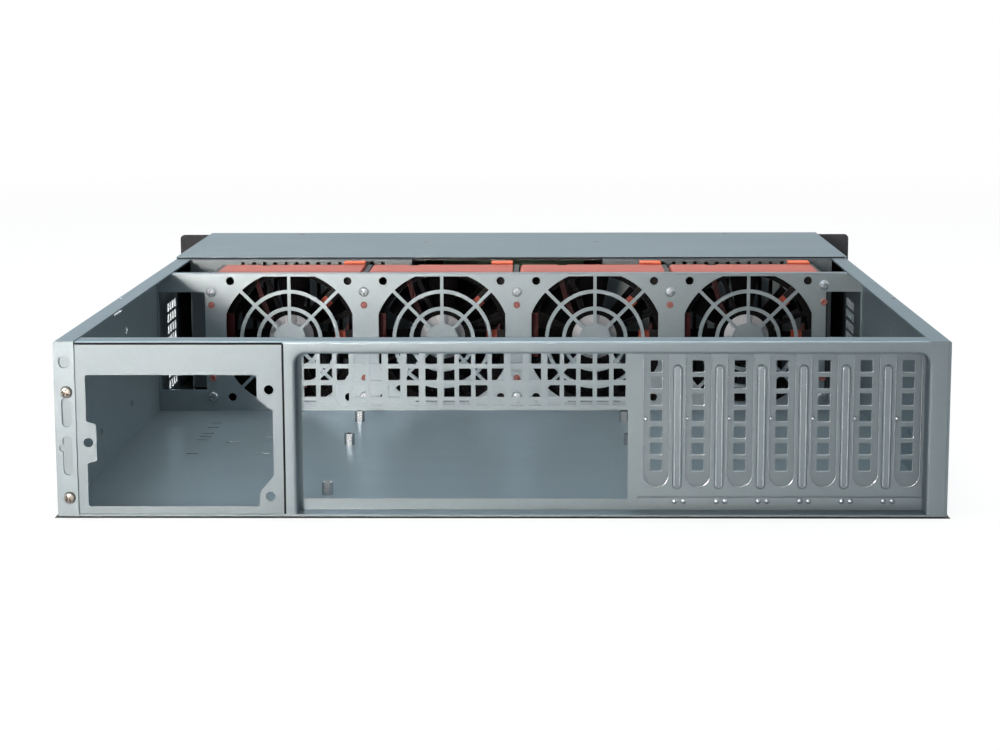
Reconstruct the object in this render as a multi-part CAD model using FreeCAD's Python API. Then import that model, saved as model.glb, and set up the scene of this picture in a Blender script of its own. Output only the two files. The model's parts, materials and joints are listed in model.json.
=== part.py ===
import FreeCAD, Part
import math
import os
from FreeCAD import Vector

# A two-unit rack server case, empty, with its rear lid off.
# Frame: +Z up from the underside, -Y towards the front (rack ears), +Y towards the rear panel.
# The power supply bay is on the +X side. Depths ("d") are measured forwards from the rear face.

# ---- driving dimensions (mm) ----------------------------------------------------------------
WIDTH = 431.0            # across the side walls
WALL_H = 85.8            # underside to the top of the side-wall lips
BODY_D = 550.0           # rear face to the front face of the front panel
REAR_PROUD = 2.0         # rear screw heads beyond the rear face
FRONT_PROUD = 3.0        # power button beyond the front panel
SHEET = 1.0              # galvanised sheet

LIP = 10.0               # inward lip along the top of each side wall
COVER_D = (368.5, 530.0) # depth range of the fixed front cover
EAR_W = 482.6            # over both rack ears
EAR_Z = (2.2, 83.6)
EAR_T = 2.0
EAR_SLOTS_X = 465.1      # rack hole pitch across
EAR_SLOTS_Z = 44.45      # rack hole pitch up
EAR_SLOT = (10.0, 3.4)   # slot length and half width
EAR_SCREWS = ((505, 20), (525, 20), (505, 65), (525, 65))   # depth and height

RECESS = 11.5            # depth of the recessed rear panel
WINDOW_X = (-205.2, 99.0)
WINDOW_TOP = 79.8
WINDOW_BEND = 1.5        # outer radius of the bend round the window
IO = (-61.7, 97.0, 6.4, 50.9)       # input/output shield opening: x0, x1, z0, z1
SLOT_X = -75.5           # first expansion slot; the others follow towards -X
SLOT_PITCH = 20.32
SLOTS = 7
SLOT_Z = (12.3, 78.2)
SLOT_W = 12.6
VENT_HOLE = 5.9          # square vent holes of the rear panel and the slot covers

PSU_X = (104.9, 204.9)   # power supply bracket
PSU_Z = (1.3, 84.5)

FAN_WALL = 288.0         # depth of the fan wall's rear face
FAN_X = 133.8            # first fan; the others follow towards -X
FAN_PITCH = 93.1
FAN_Z = 45.0
FANS = 4
FAN_SIZE = 79.2
FAN_T = 38.0
FAN_HOLES = 71.5
FAN_D = 297.5            # depth of the fans' rear face
CAGE_W = 88.4
CAGE_SHIFT = 1.5         # a cage sits this much to +X of its fan's centre
CAGE_D = (295.6, 352.0)
CAGE_Z = (1.4, 85.4)
CAGE_WALL = 1.8
GUARD_RING = 2.2         # width of the finger guards' rings
GUARD_SPOKE = 1.9
MOTOR_CAP_R = 13.6
LEAD_R = 0.65            # one wire of a fan's lead
FIX_X = 181.3            # first column of screws and rivets in the fan wall

BOARD_X = 88.45          # first column of motherboard standoffs
BOARD_D = 12.7           # depth of the motherboard's rear edge
STANDOFF_TOP = 7.5

BULKHEAD = 362.0         # depth of the drive cages' slotted rear wall
CAGE_LEFT = (63.0, 205.2)
CAGE_RIGHT = (-205.2, -59.0)

REAR_Y = (BODY_D + FRONT_PROUD + REAR_PROUD) / 2 - REAR_PROUD
WALL = WIDTH / 2
FRONT_D = BODY_D


# ---- helpers --------------------------------------------------------------------------------
def y(depth):
    """Row-frame Y of a depth measured forwards from the rear face."""
    return REAR_Y - depth


def block(x, d, z):
    """A box from its ranges across, in depth and up."""
    return Part.makeBox(abs(x[1] - x[0]), abs(d[1] - d[0]), abs(z[1] - z[0]),
                        Vector(min(x), y(max(d)), min(z)))


def rod_y(x, z, r, d):
    """A round bar along the depth."""
    return Part.makeCylinder(r, abs(d[1] - d[0]), Vector(x, y(max(d)), z), Vector(0, 1, 0))


def rod_z(x, d, r, z):
    """A round bar standing up."""
    return Part.makeCylinder(r, abs(z[1] - z[0]), Vector(x, y(d), min(z)), Vector(0, 0, 1))


def rod_x(d, z, r, x):
    """A round bar across."""
    return Part.makeCylinder(r, abs(x[1] - x[0]), Vector(min(x), y(d), z), Vector(1, 0, 0))


def fuse(shapes):
    """One solid from touching shapes, without the seams between them."""
    return shapes[0].multiFuse(shapes[1:]).removeSplitter()


def stadium_y(x, z, length, r, d, upright=False):
    """A round-ended bar along the depth, long side across or upright."""
    half = length / 2 - r
    ends = [(x, z - half), (x, z + half)] if upright else [(x - half, z), (x + half, z)]
    core = block((x - r, x + r), d, (z - half, z + half)) if upright else \
        block((x - half, x + half), d, (z - r, z + r))
    return fuse([core] + [rod_y(ex, ez, r, d) for ex, ez in ends])


def rounded_y(x, z, d, radius, corners):
    """A block whose named corners (in X and Z) are rounded: any of 'tl', 'tr', 'bl', 'br'."""
    body = block(x, d, z)
    places = {"bl": (min(x), min(z)), "br": (max(x), min(z)), "tl": (min(x), max(z)), "tr": (max(x), max(z))}
    edges = []
    for edge in body.Edges:
        a, b = edge.Vertexes[0].Point, edge.Vertexes[1].Point
        if abs(a.y - b.y) > 1e-6:
            for corner in corners:
                cx, cz = places[corner]
                if abs(a.x - cx) < 1e-6 and abs(a.z - cz) < 1e-6:
                    edges.append(edge)
    return body.makeFillet(radius, edges)


def folded(points, outward, sweep):
    """Folded sheet: a polyline of (x, z), thickened by SHEET with round bends, swept over depths."""
    path = Part.makePolygon([Vector(px, y(max(sweep)), pz) for px, pz in points])
    face = path.makeOffset2D(-SHEET if outward else SHEET, 0, True, True, False)
    return face.extrude(Vector(0, abs(sweep[1] - sweep[0]), 0))


def mirror_x(shape):
    return shape.mirror(Vector(0, 0, 0), Vector(1, 0, 0))


def pan_head(x, z, face_d, head_r, head_h, shank_r, grip):
    """A pan-head screw along the depth whose head stands to the rear of face_d."""
    head = rod_y(x, z, head_r, (face_d - head_h, face_d))
    crown = y(face_d - head_h)
    rim = [e for e in head.Edges if abs(e.BoundBox.YMin - crown) < 1e-6 and e.BoundBox.XLength > 1]
    head = head.makeFillet(head_h * 0.55, rim)
    return fuse([head, rod_y(x, z, shank_r, (face_d, face_d + grip))])


# ---- chassis tray ---------------------------------------------------------------------------
def chassis_tray():
    """Floor, side walls, inward lips and the drilled strip beside the power supply."""
    inner = WALL - SHEET
    lip_in = WALL - LIP
    low = SHEET
    tray = folded([(-lip_in, WALL_H - SHEET), (-inner, WALL_H - SHEET), (-inner, low), (inner, low),
                   (inner, WALL_H - SHEET), (lip_in, WALL_H - SHEET)], True, (0, COVER_D[1]))
    nose = folded([(-inner, EAR_Z[1] + 1), (-inner, low), (inner, low), (inner, EAR_Z[1] + 1)],
                  True, (COVER_D[1], FRONT_D - SHEET - 0.2))
    strip = block((PSU_X[1] + 0.4, WALL - 0.5), (0, SHEET), (0.5, WALL_H - 0.5))
    tray = fuse([tray, nose, strip])
    cuts = [stadium_y(209.7, 51.3, 14.2, 2.3, (-1, 2), True),
            stadium_y(209.7, 30.1, 19.2, 2.3, (-1, 2), True),
            rod_y(212.2, 33.8, 1.7, (-1, 2)),
            rod_y(210.0, 76.0, 2.9, (-1, 2))]
    for z in (61.2, 9.2):
        cuts.append(rod_y(209.5, z, 1.6, (-1, 2)))
    for side in (-1, 1):
        wall = (side * (WALL - 3), side * (WALL + 1))
        for column in range(4):
            d = 341.0 + (column - 1.5) * 8.6
            for row in range(8):
                z = 59.4 - 7.0 * row
                cuts.append(block(wall, (d - 3, d + 3), (z - 2.6, z + 2.6)))
        cuts.append(block(wall, (152, 174), (77.5, 80.5)))
        cuts.append(block(wall, (185.5, 189), (63, 66.5)))
        cuts.append(block((side * (WALL - 3.2), side * (WALL + 1)), (161.5, 165.5), (84, 87)))
        for d, z in EAR_SCREWS:
            cuts.append(rod_x(d, z, 1.6, wall))
    floor_slots = [(173.8, 152.2), (134.6, 152.2), (135.5, 191.8), (135.5, 202.2), (135.5, 213.0)]
    floor_slots += [(173.6, d) for d in (192.2, 202, 211.5, 231, 245.6)]
    for x, d in floor_slots:
        cuts.append(block((x - 3.4, x + 3.4), (d - 1.1, d + 1.1), (-1, 2)))
    cuts.append(block((151.6, 159.4), (184, 187), (-1, 2)))
    return tray.cut(Part.makeCompound(cuts))


# ---- recessed rear panel --------------------------------------------------------------------
def vent_columns():
    """Centres of the square vent holes above the input/output opening, towards -X."""
    pitches = [8.0] * 4 + [9.0] * 3 + [8.4] + [8.0] * 3 + [9.0] * 3 + [8.0] * 4
    x = 92.9
    centres = [x]
    for pitch in pitches:
        x -= pitch
        centres.append(x)
    return centres


def window_block(grow, d):
    """The rear window's outline, with its two upper corners rounded, grown sideways and up."""
    across = (WINDOW_X[0] - grow, WINDOW_X[1] + grow)
    return rounded_y(across, (-3, WINDOW_TOP + grow), d, 5.0 + grow, ("tl", "tr"))


def on_window(edge):
    """Whether an edge of the rear face runs along the window's outline."""
    box = edge.BoundBox
    if box.YMin < y(0.01):
        return False
    left, right = abs(box.XMin - WINDOW_X[0]) < 5.1, abs(box.XMax - WINDOW_X[1]) < 5.1
    on_side = (left or right) and box.XLength < 5.1 and box.ZMin < WINDOW_TOP
    on_top = abs(box.ZMax - WINDOW_TOP) < 0.01 and box.ZLength < 5.1
    return (on_side and abs(box.XMax) < 206 and box.ZMax < WINDOW_TOP + 0.01) or on_top


def slot_x(index):
    return SLOT_X - SLOT_PITCH * index


def rear_panel():
    """Top rail, posts and the panel set back between them for boards and cards."""
    inner = WALL - SHEET - 0.1
    rim = block((-inner, PSU_X[0] - 0.3), (0, SHEET), (SHEET, WALL_H - SHEET)).cut(window_block(0, (-2, 3)))
    returns = window_block(SHEET, (SHEET, RECESS + SHEET)).cut(window_block(0, (-2, RECESS + 3)))
    returns = returns.common(block((-inner, inner), (0, 30), (SHEET, WALL_H)))
    window_frame = fuse([rim, returns])
    bend = [e for e in window_frame.Edges if on_window(e)]
    window_frame = window_frame.makeFillet(WINDOW_BEND, bend)
    rail = block((-WALL + LIP + 0.2, PSU_X[1] - 0.2), (0, 14.4), (WALL_H - SHEET, WALL_H))
    top_edge = [e for e in rail.Edges if e.BoundBox.YMin > y(0.1) and e.BoundBox.ZMin > WALL_H - 0.1]
    rail = rail.makeFillet(0.9, top_edge)
    post = block((PSU_X[0] - SHEET - 0.3, PSU_X[0] - 0.3), (0, 14), (SHEET, WALL_H - SHEET))
    panel = block(WINDOW_X, (RECESS, RECESS + SHEET), (SHEET, WINDOW_TOP))
    foot = block(WINDOW_X, (RECESS, RECESS + 8), (SHEET, 2 * SHEET))
    bead = block((slot_x(SLOTS - 1) - 9, slot_x(0) + 9), (RECESS - 1.4, RECESS), (3.6, 7.4))
    body = [window_frame, rail, post, panel, foot, bead]
    for index in range(SLOTS - 1):
        x = slot_x(index) - SLOT_PITCH / 2
        span = (RECESS - 1.3, RECESS + 0.5)
        rib = rounded_y((x - 2.3, x + 2.3), (11.3, 72.8), span, 2.2, ("tl", "tr", "bl", "br"))
        crest = [e for e in rib.Edges if e.BoundBox.YMin > y(RECESS - 1.2)]
        body.append(rib.makeFillet(1.0, crest))
    panel = fuse(body)
    cuts = [block((IO[0], IO[1]), (RECESS - 3, RECESS + 3), (IO[2], IO[3]))]
    reach = (RECESS - 0.5, RECESS + 2)
    half = VENT_HOLE / 2
    for column, x in enumerate(vent_columns()):
        for z in (68.0, 59.8):
            if column == 2 and z < 60:
                continue
            cuts.append(block((x - half, x + half), reach, (z - half, z + half)))
        cuts.append(block((x - half, x + half), reach, (73.1, WINDOW_TOP - 1.2)))
        if column != 2:
            cuts.append(block((x - half, x + half), reach, (52.6, 55.0)))
    notch_x = vent_columns()[2]
    cuts.append(block((notch_x - half, notch_x + half), reach, (55.2, 62.7)))
    cuts.append(rod_y(notch_x, 55.4, half, reach))
    for index in range(SLOTS):
        x = slot_x(index)
        r = SLOT_W / 2
        cuts.append(block((x - r, x + r), reach, (SLOT_Z[0] + r, SLOT_Z[1])))
        cuts.append(rod_y(x, SLOT_Z[0] + r, r, reach))
    return panel.cut(Part.makeCompound(cuts))


def slot_cover(index):
    """Vented blank: a plate behind the window, hooked over the window's top return."""
    x = slot_x(index)
    back = RECESS + SHEET
    t = 0.8
    plate = block((x - 9.2, x + 9.2), (back, back + t), (9.0, WINDOW_TOP + SHEET + t))
    hook = block((x - 9.2, x + 9.2), (2.2, back + t), (WINDOW_TOP + SHEET, WINDOW_TOP + SHEET + t))
    cover = fuse([plate, hook])
    half = VENT_HOLE / 2
    holes = []
    for row in range(7):
        z = 71.8 - 8.15 * row
        holes.append(block((x - half, x + half), (back - 1, back + 2), (z - half, z + half)))
    return cover.cut(Part.makeCompound(holes))


# ---- power supply bracket -------------------------------------------------------------------
def psu_bracket():
    """Flat frame for a two-unit power supply, with a flange behind the drilled strip."""
    plate = block(PSU_X, (0, SHEET), PSU_Z)
    flange = block((PSU_X[1] - 3, 213.5), (SHEET, 2 * SHEET), (3, 82))
    outline = [(200.3, 5.0), (200.3, 26.2), (195.6, 27.5), (195.6, 45.4), (200.3, 46.8), (200.3, 69.6),
               (117.5, 69.6), (117.5, 58.0), (109.9, 52.0), (109.9, 20.2), (116.5, 12.5), (117.4, 5.0)]
    wire = Part.makePolygon([Vector(px, y(2), pz) for px, pz in outline + outline[:1]])
    opening = Part.Face(wire).extrude(Vector(0, 4, 0))
    corners = [e for e in opening.Edges if abs(e.Vertexes[0].Y - e.Vertexes[-1].Y) > 1]
    opening = opening.makeFillet(1.1, corners)
    bracket = fuse([plate, flange]).cut(opening)
    holes = [rod_y(x, z, 2.3, (-1, 4)) for x, z in ((111.7, 62.3), (111.7, 10.0), (199.6, 36.4))]
    holes += [rod_y(209.5, z, 1.3, (0, 4)) for z in (61.2, 9.2)]
    return bracket.cut(Part.makeCompound(holes))


def psu_bracket_screws():
    return Part.makeCompound([pan_head(209.5, z, 0, 3.0, REAR_PROUD, 1.3, 4) for z in (61.2, 9.2)])


# ---- fan wall -------------------------------------------------------------------------------
def fan_x(index):
    return FAN_X - FAN_PITCH * index


def fix_x(index):
    return FIX_X - FAN_PITCH * index


def guard_cutter(x):
    """What is cut from the wall at one fan: the opening less its stamped finger guard."""
    span = (FAN_WALL - 1, FAN_WALL + 2)
    square = block((x - 38.6, x + 38.6), span, (FAN_Z - 38.6, FAN_Z + 38.6))
    opening = rod_y(x, FAN_Z, 41.7, span).common(square)
    guard = [rod_y(x, FAN_Z, 9.9, span)]
    for radius in (18.9, 29.3):
        outer, inner = radius + GUARD_RING / 2, radius - GUARD_RING / 2
        guard.append(rod_y(x, FAN_Z, outer, span).cut(rod_y(x, FAN_Z, inner, span)))
    spoke = block((x - 45, x + 45), span, (FAN_Z - GUARD_SPOKE / 2, FAN_Z + GUARD_SPOKE / 2))
    for turn in range(4):
        bar = spoke.copy()
        bar.rotate(Vector(x, 0, FAN_Z), Vector(0, 1, 0), 45 * turn)
        guard.append(bar)
    return opening.cut(guard[0].multiFuse(guard[1:]))


def fan_wall():
    """Cross wall with four stamped finger guards, cable windows and flanges folded forwards."""
    face = FAN_WALL
    plate = block((-WALL + SHEET + 0.1, WALL - SHEET - 0.1), (face, face + SHEET), (SHEET, 85.4))
    fold = (face, face + 7)
    span_in = WALL - LIP - 0.2
    top = block((-span_in, span_in), fold, (84.4, 85.4))
    bottom = block((-span_in, span_in), fold, (SHEET, 2 * SHEET))
    sides = [block((s * (WALL - 1.1), s * (WALL - 2.1)), (face, face + 27), (SHEET, WALL_H - 1.2))
             for s in (-1, 1)]
    corner = [block((s * span_in, s * WALL), (face - 1, face + 2), (84.7, 87)) for s in (-1, 1)]
    wall = fuse([plate, top, bottom] + sides).cut(Part.makeCompound(corner))
    cuts = [guard_cutter(fan_x(index)) for index in range(FANS)]
    span = (face - 1, face + 2)
    cuts.append(block((185.2, WALL - 2.1), span, (13.8, 74.1)))
    cuts.append(block((-192.4, -WALL + 2.1), span, (13.8, 74.1)))
    for index in range(FANS):
        for sx in (-1, 1):
            for sz in (-1, 1):
                cuts.append(rod_y(fan_x(index) + sx * FAN_HOLES / 2, FAN_Z + sz * FAN_HOLES / 2, 2.5, span))
    for x, z in screw_places() + rivet_places():
        cuts.append(rod_y(x, z, 1.6, span))
    return wall.cut(Part.makeCompound(cuts))


def screw_places():
    places = [(fix_x(index), 78.2 if index == FANS else 74.1) for index in range(FANS + 1)]
    return places + [(fix_x(index), 9.7) for index in range(FANS + 1)]


def rivet_places():
    places = [(fix_x(index), 67.8 if index == FANS else 66.1) for index in range(FANS + 1)]
    return places + [(fix_x(index), 21.1) for index in range(FANS + 1)]


def fan_wall_screws():
    return Part.makeCompound([pan_head(x, z, FAN_WALL, 3.1, 1.9, 1.5, 3.5) for x, z in screw_places()])


def fan_wall_rivets():
    return Part.makeCompound([pan_head(x, z, FAN_WALL, 2.1, 1.2, 1.5, 2.6) for x, z in rivet_places()])


def fan_guide(index):
    """Upright divider beside a fan bay, flanged to the fan wall, with a folded top edge."""
    x = fix_x(index) + 0.55
    front = FAN_WALL + SHEET
    plate = block((x - 0.5, x + 0.5), (front, CAGE_D[1] + 1), (2.3, 83.5))
    flange = block((x - 3.2, x + 3.2), (front, front + SHEET), (4, 83.5))
    hem = block((x - 1.5, x + 1.5), (FAN_D, CAGE_D[1] + 1), (82.7, 83.5))
    guide = fuse([plate, flange, hem])
    holes = [rod_y(px, pz, 1.6, (front - 1, front + 3.5)) for px, pz in screw_places() + rivet_places()
             if abs(px - x) < 3]
    return guide.cut(Part.makeCompound(holes))


# ---- hot-swap fan modules -------------------------------------------------------------------
def fan_cage(index):
    """Moulded carrier: a skin around the fan, side cheeks, and a finger latch at one end."""
    x = fan_x(index) + CAGE_SHIFT
    half = CAGE_W / 2
    clear = half - CAGE_WALL
    rear, front = CAGE_D
    low, high = CAGE_Z
    fan_front = FAN_D + FAN_T
    shell = block((x - half, x + half), CAGE_D, CAGE_Z)
    top_edge = [e for e in shell.Edges if e.BoundBox.XMin > x + half - 0.1 and e.BoundBox.ZMin > high - 0.1]
    shell = shell.makeFillet(2.5, top_edge)
    fan_bay = block((x - clear, x + clear), (rear - 1, fan_front), (FAN_Z - FAN_SIZE / 2, FAN_Z + FAN_SIZE / 2))
    duct = block((x - clear, x + clear), (fan_front - 1, front + 1), (low + 4, 78))
    ledge = block((x - half - 1, x + half + 1), (fan_front + 0.5, front + 1), (81.5, 90))
    windows = [block((x + side * (half + 1), x + side * (clear - 0.5)), (rear + 8, fan_front - 8), (18, 68))
               for side in (-1, 1)]
    finger_hole = block((x + 15, x + 21), (fan_front - 3, fan_front + 1), (80, 87))
    shell = shell.cut(Part.makeCompound([fan_bay, duct, ledge, finger_hole] + windows))
    cheeks = []
    for side in (-1, 1):
        across = (fan_x(index) + side * FAN_SIZE / 2, x + side * clear)
        for d in ((FAN_D, FAN_D + 4), (fan_front - 4.5, fan_front - 0.5)):
            cheeks.append(block(across, d, (low + 2, high - 0.5)))
    latch_d = (front - 16, front - 3)
    latch_x = x - half + 0.2
    latch = block((latch_x, latch_x + 13.2), latch_d, (80, 86.6))
    spring = block((latch_x, latch_x + CAGE_WALL), latch_d, (60, 86.6))
    return fuse([shell] + cheeks + [latch, spring] + fan_clips(index, x, clear))


def fan_clips(index, x, clear):
    """Arms on the carrier's rear edge that hold the fan in: two on the latch side and one opposite."""
    fan = fan_x(index)
    span = (CAGE_D[0], FAN_D)
    corner = block((fan + 28, fan + 57), span, (FAN_Z - 3.2, FAN_Z + 3.2))
    corner.rotate(Vector(fan, 0, FAN_Z), Vector(0, 1, 0), -135)
    corner = corner.common(block((x - clear - 0.5, fan), span, (FAN_Z, CAGE_Z[1] - 0.3)))
    middle = block((x - clear - 0.5, fan - 27), span, (FAN_Z - 1.5, FAN_Z + 4.5))
    opposite = block((fan + 34.5, x + clear + 0.5), span, (FAN_Z - 12, FAN_Z + 15))
    return [corner, middle, opposite]


def fan_frame(index):
    """Square fan frame with round duct, open corners between the flanges, struts and motor seat."""
    x = fan_x(index)
    half = FAN_SIZE / 2
    rear, front = FAN_D, FAN_D + FAN_T
    across, up = (x - half, x + half), (FAN_Z - half, FAN_Z + half)
    frame = rounded_y(across, up, (rear, front), 3.5, ("tl", "tr", "bl", "br"))
    waist = block((x - 50, x + 50), (rear + 4.5, front - 4.5), (FAN_Z - 50, FAN_Z + 50))
    waist = waist.cut(rod_y(x, FAN_Z, 40.4, (rear, front)))
    frame = frame.cut(waist).cut(rod_y(x, FAN_Z, 38.1, (rear - 1, front + 1)))
    seat = rod_y(x, FAN_Z, 17.6, (rear + 2.4, rear + 5.4))
    struts = []
    for turn in range(4):
        strut = block((x + 10, x + 39), (rear + 0.6, rear + 4.0), (FAN_Z - 1.3, FAN_Z + 1.3))
        strut.rotate(Vector(x, 0, FAN_Z), Vector(0, 1, 0), 22.5 + 90 * turn)
        struts.append(strut)
    frame = fuse([frame, seat] + struts)
    frame = frame.cut(rod_y(x, FAN_Z, MOTOR_CAP_R + 0.3, (rear - 1, rear + 2.4)))
    holes = [rod_y(x + sx * FAN_HOLES / 2, FAN_Z + sz * FAN_HOLES / 2, 2.15, (rear - 1, front + 1))
             for sx in (-1, 1) for sz in (-1, 1)]
    return frame.cut(Part.makeCompound(holes + [rod_y(x, FAN_Z, 1.6, (rear, rear + 8))]))


def fan_motor_cap(index):
    """Metal motor cover at the middle of the fan's rear face: a shallow cone parted into petals."""
    x = fan_x(index)
    rear = FAN_D + 0.2
    flat_r, depth = 9.0, 2.2
    cap = Part.makeCone(MOTOR_CAP_R, flat_r, depth, Vector(x, y(rear + depth), FAN_Z), Vector(0, 1, 0))
    grooves = []
    for turn in range(10):
        groove = block((x + 9.6, x + 15), (rear - 1, rear + 1.7), (FAN_Z - 0.45, FAN_Z + 0.45))
        groove.rotate(Vector(x, 0, FAN_Z), Vector(0, 1, 0), 36 * turn)
        grooves.append(groove)
    return cap.cut(Part.makeCompound(grooves))


def fan_lead(index):
    """Three wires from the motor seat out to the carrier's middle clip, lying in the mouth of the duct."""
    wires = []
    for strand in range(3):
        depth = y(FAN_D + 0.9 + 0.8 * strand)
        side = 1.5 * (strand - 1)
        polar = ((18.5, -12.0), (23.0, -9.0), (28.5, -3.0), (33.0, 4.0), (35.8, 11.0))
        points = []
        for radius, angle in polar:
            turn = math.radians(180 - angle)
            points.append(Vector(fan_x(index) + radius * math.cos(turn), depth,
                                 FAN_Z + radius * math.sin(turn) + side))
        curve = Part.BSplineCurve()
        curve.interpolate(points)
        spine = Part.Wire([curve.toShape()])
        ring = Part.Wire([Part.makeCircle(LEAD_R, points[0], curve.tangent(0)[0])])
        wires.append(spine.makePipeShell([ring], True, False))
    return Part.makeCompound(wires)


def blade():
    """One twisted fan blade about the Y axis through the origin, lofted from hub to tip."""
    wires = []
    for radius, chord, angle in ((14.0, 17.0, 52.0), (26.0, 20.0, 38.0), (38.5, 23.0, 27.0)):
        a = math.radians(angle)
        along = Vector(math.cos(a), math.sin(a), 0)
        across = Vector(-math.sin(a), math.cos(a), 0)
        section = []
        for s, t in ((-0.5, 0.0), (0.0, -2.2), (0.5, 0.0), (0.0, -0.4)):
            p = along * (s * chord) + across * t
            section.append(Vector(p.x, p.y, radius))
        wires.append(Part.makePolygon(section + section[:1]))
    return Part.makeLoft(wires, True, True)


def fan_rotor(index):
    """Hub and seven blades on a short shaft that runs in the frame's motor seat."""
    x = fan_x(index)
    rear = FAN_D + 6.2
    hub = rod_y(x, FAN_Z, 16.2, (rear, rear + 24))
    shaft = rod_y(x, FAN_Z, 1.52, (FAN_D + 2.6, rear))
    one = blade()
    limit = rod_y(0, 0, 37.0, (0, 40))
    limit.translate(Vector(0, -REAR_Y + 20, 0))
    one = one.common(limit)
    blades = []
    for turn in range(7):
        copy = one.copy()
        copy.rotate(Vector(0, 0, 0), Vector(0, 1, 0), 360 / 7 * turn)
        copy.translate(Vector(x, y(rear + 12), FAN_Z))
        blades.append(copy)
    return fuse([hub, shaft] + blades)


# ---- standoffs, drive cages, cover ----------------------------------------------------------
def standoff_places():
    columns = (BOARD_X, BOARD_X - 157.48, BOARD_X - 281.94)
    places = [(BOARD_X, BOARD_D + 33.02)] + [(x, BOARD_D + 10.16) for x in columns[1:]]
    return places + [(x, BOARD_D + row) for x in columns for row in (165.1, 237.49)]


def standoffs():
    """Hexagonal standoffs for a motherboard, tapped from above."""
    posts = []
    for x, d in standoff_places():
        turns = [math.radians(60 * k) for k in range(7)]
        points = [Vector(x + 2.9 * math.cos(turn), y(d) + 2.9 * math.sin(turn), SHEET)
                  for turn in turns]
        post = Part.Face(Part.makePolygon(points)).extrude(Vector(0, 0, STANDOFF_TOP - SHEET))
        posts.append(post.cut(rod_z(x, d, 1.3, (SHEET + 1, STANDOFF_TOP + 1))))
    return Part.makeCompound(posts)


def drive_cage(span, inner_x):
    """Internal drive cage: top, two cheeks with feet, and a slotted rear wall."""
    outer_x = span[0] if inner_x == span[1] else span[1]
    step = 1 if inner_x > outer_x else -1
    front = COVER_D[1] - 1
    top = block(span, (BULKHEAD, front), (WALL_H - SHEET, WALL_H))
    rear = block(span, (BULKHEAD, BULKHEAD + SHEET), (3, WALL_H))
    inner = block((inner_x, inner_x - step * SHEET), (BULKHEAD, front), (SHEET, WALL_H))
    outer = block((outer_x, outer_x + step * SHEET), (BULKHEAD, front), (SHEET, WALL_H))
    feet = [block((inner_x, inner_x + step * 9), (BULKHEAD + 4, front - 4), (SHEET, 2 * SHEET))]
    cage = fuse([top, rear, inner, outer] + feet)
    middle = (span[0] + span[1]) / 2
    comb_middle = 126.4 if middle > 0 else -128.5
    cuts = []
    for index in range(14):
        x = comb_middle + (index - 6.5) * 6.9
        cuts.append(block((x - 1.25, x + 1.25), (BULKHEAD - 1, BULKHEAD + 2), (9, WALL_H - 1.4)))
    for d in (400, 430, 460, 490):
        for z in (14, 41, 68):
            cuts.append(block((inner_x + 1, inner_x - 2) if step > 0 else (inner_x - 1, inner_x + 2),
                              (d - 4, d + 4), (z - 1.7, z + 1.7)))
    return cage.cut(Part.makeCompound(cuts))


def front_cover():
    """Fixed cover over the drive bay, with a hemmed rear edge and a folded front edge."""
    d0, d1 = COVER_D
    top = block((-WALL, WALL), (d0, d1), (WALL_H, WALL_H + SHEET))
    hem = block((-58.4, 62.4), (d0, d0 + 6), (WALL_H - SHEET, WALL_H))
    nose = block((-WALL + LIP + 0.2, WALL - LIP - 0.2), (d1 - SHEET, d1), (WALL_H - 4, WALL_H))
    cover = fuse([top, hem, nose])
    cuts = [rod_z(x, 465.5, 1.4, (WALL_H, WALL_H + 2)) for x in (59.3, -57.2)]
    for x in (150, -150):
        cuts.append(rod_z(x, 520, 1.4, (WALL_H, WALL_H + 2)))
    return cover.cut(Part.makeCompound(cuts))


def cover_screws():
    """Flush screws of the front cover, let into the sheet."""
    screws = []
    for x, d in ((59.3, 465.5), (-57.2, 465.5), (150, 520), (-150, 520)):
        screws.append(rod_z(x, d, 1.4, (WALL_H, WALL_H + SHEET + 0.3)))
    return Part.makeCompound(screws)


# ---- front ----------------------------------------------------------------------------------
def front_panel():
    """Black front pan: face with intake slots, control opening and drive bay, flanges to the rear."""
    d0, d1 = COVER_D[1] + 0.4, FRONT_D
    top = EAR_Z[1] + 1
    face = block((-WALL, WALL), (d1 - SHEET, d1), (0, top))
    inside = WALL - SHEET - 0.2
    upper = block((-inside, inside), (d0, d1), (top - SHEET, top))
    lower = block((-inside, inside), (d0, d1), (SHEET, 2 * SHEET))
    sides = [block((s * inside, s * (inside - SHEET)), (d0, d1), (SHEET, top)) for s in (-1, 1)]
    pan = fuse([face, upper, lower] + sides)
    cuts = [block((-51, 51), (d1 - 3, d1 + 1), (53, 77)), block((-51.2, 51.2), (d1 - 3, d1 + 1), (14, 40))]
    for side in (-1, 1):
        for column in range(18):
            x = side * (72 + column * 7.6)
            for z0, z1 in ((8, 41), (45.5, 78.5)):
                cuts.append(block((x - 2, x + 2), (d1 - 3, d1 + 1), (z0, z1)))
    return pan.cut(Part.makeCompound(cuts))


def dust_filter(side):
    """Foam pad behind the intake slots of one side."""
    return block((side * 69, side * 211), (FRONT_D - SHEET - 3.5, FRONT_D - SHEET), (4, 82))


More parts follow.
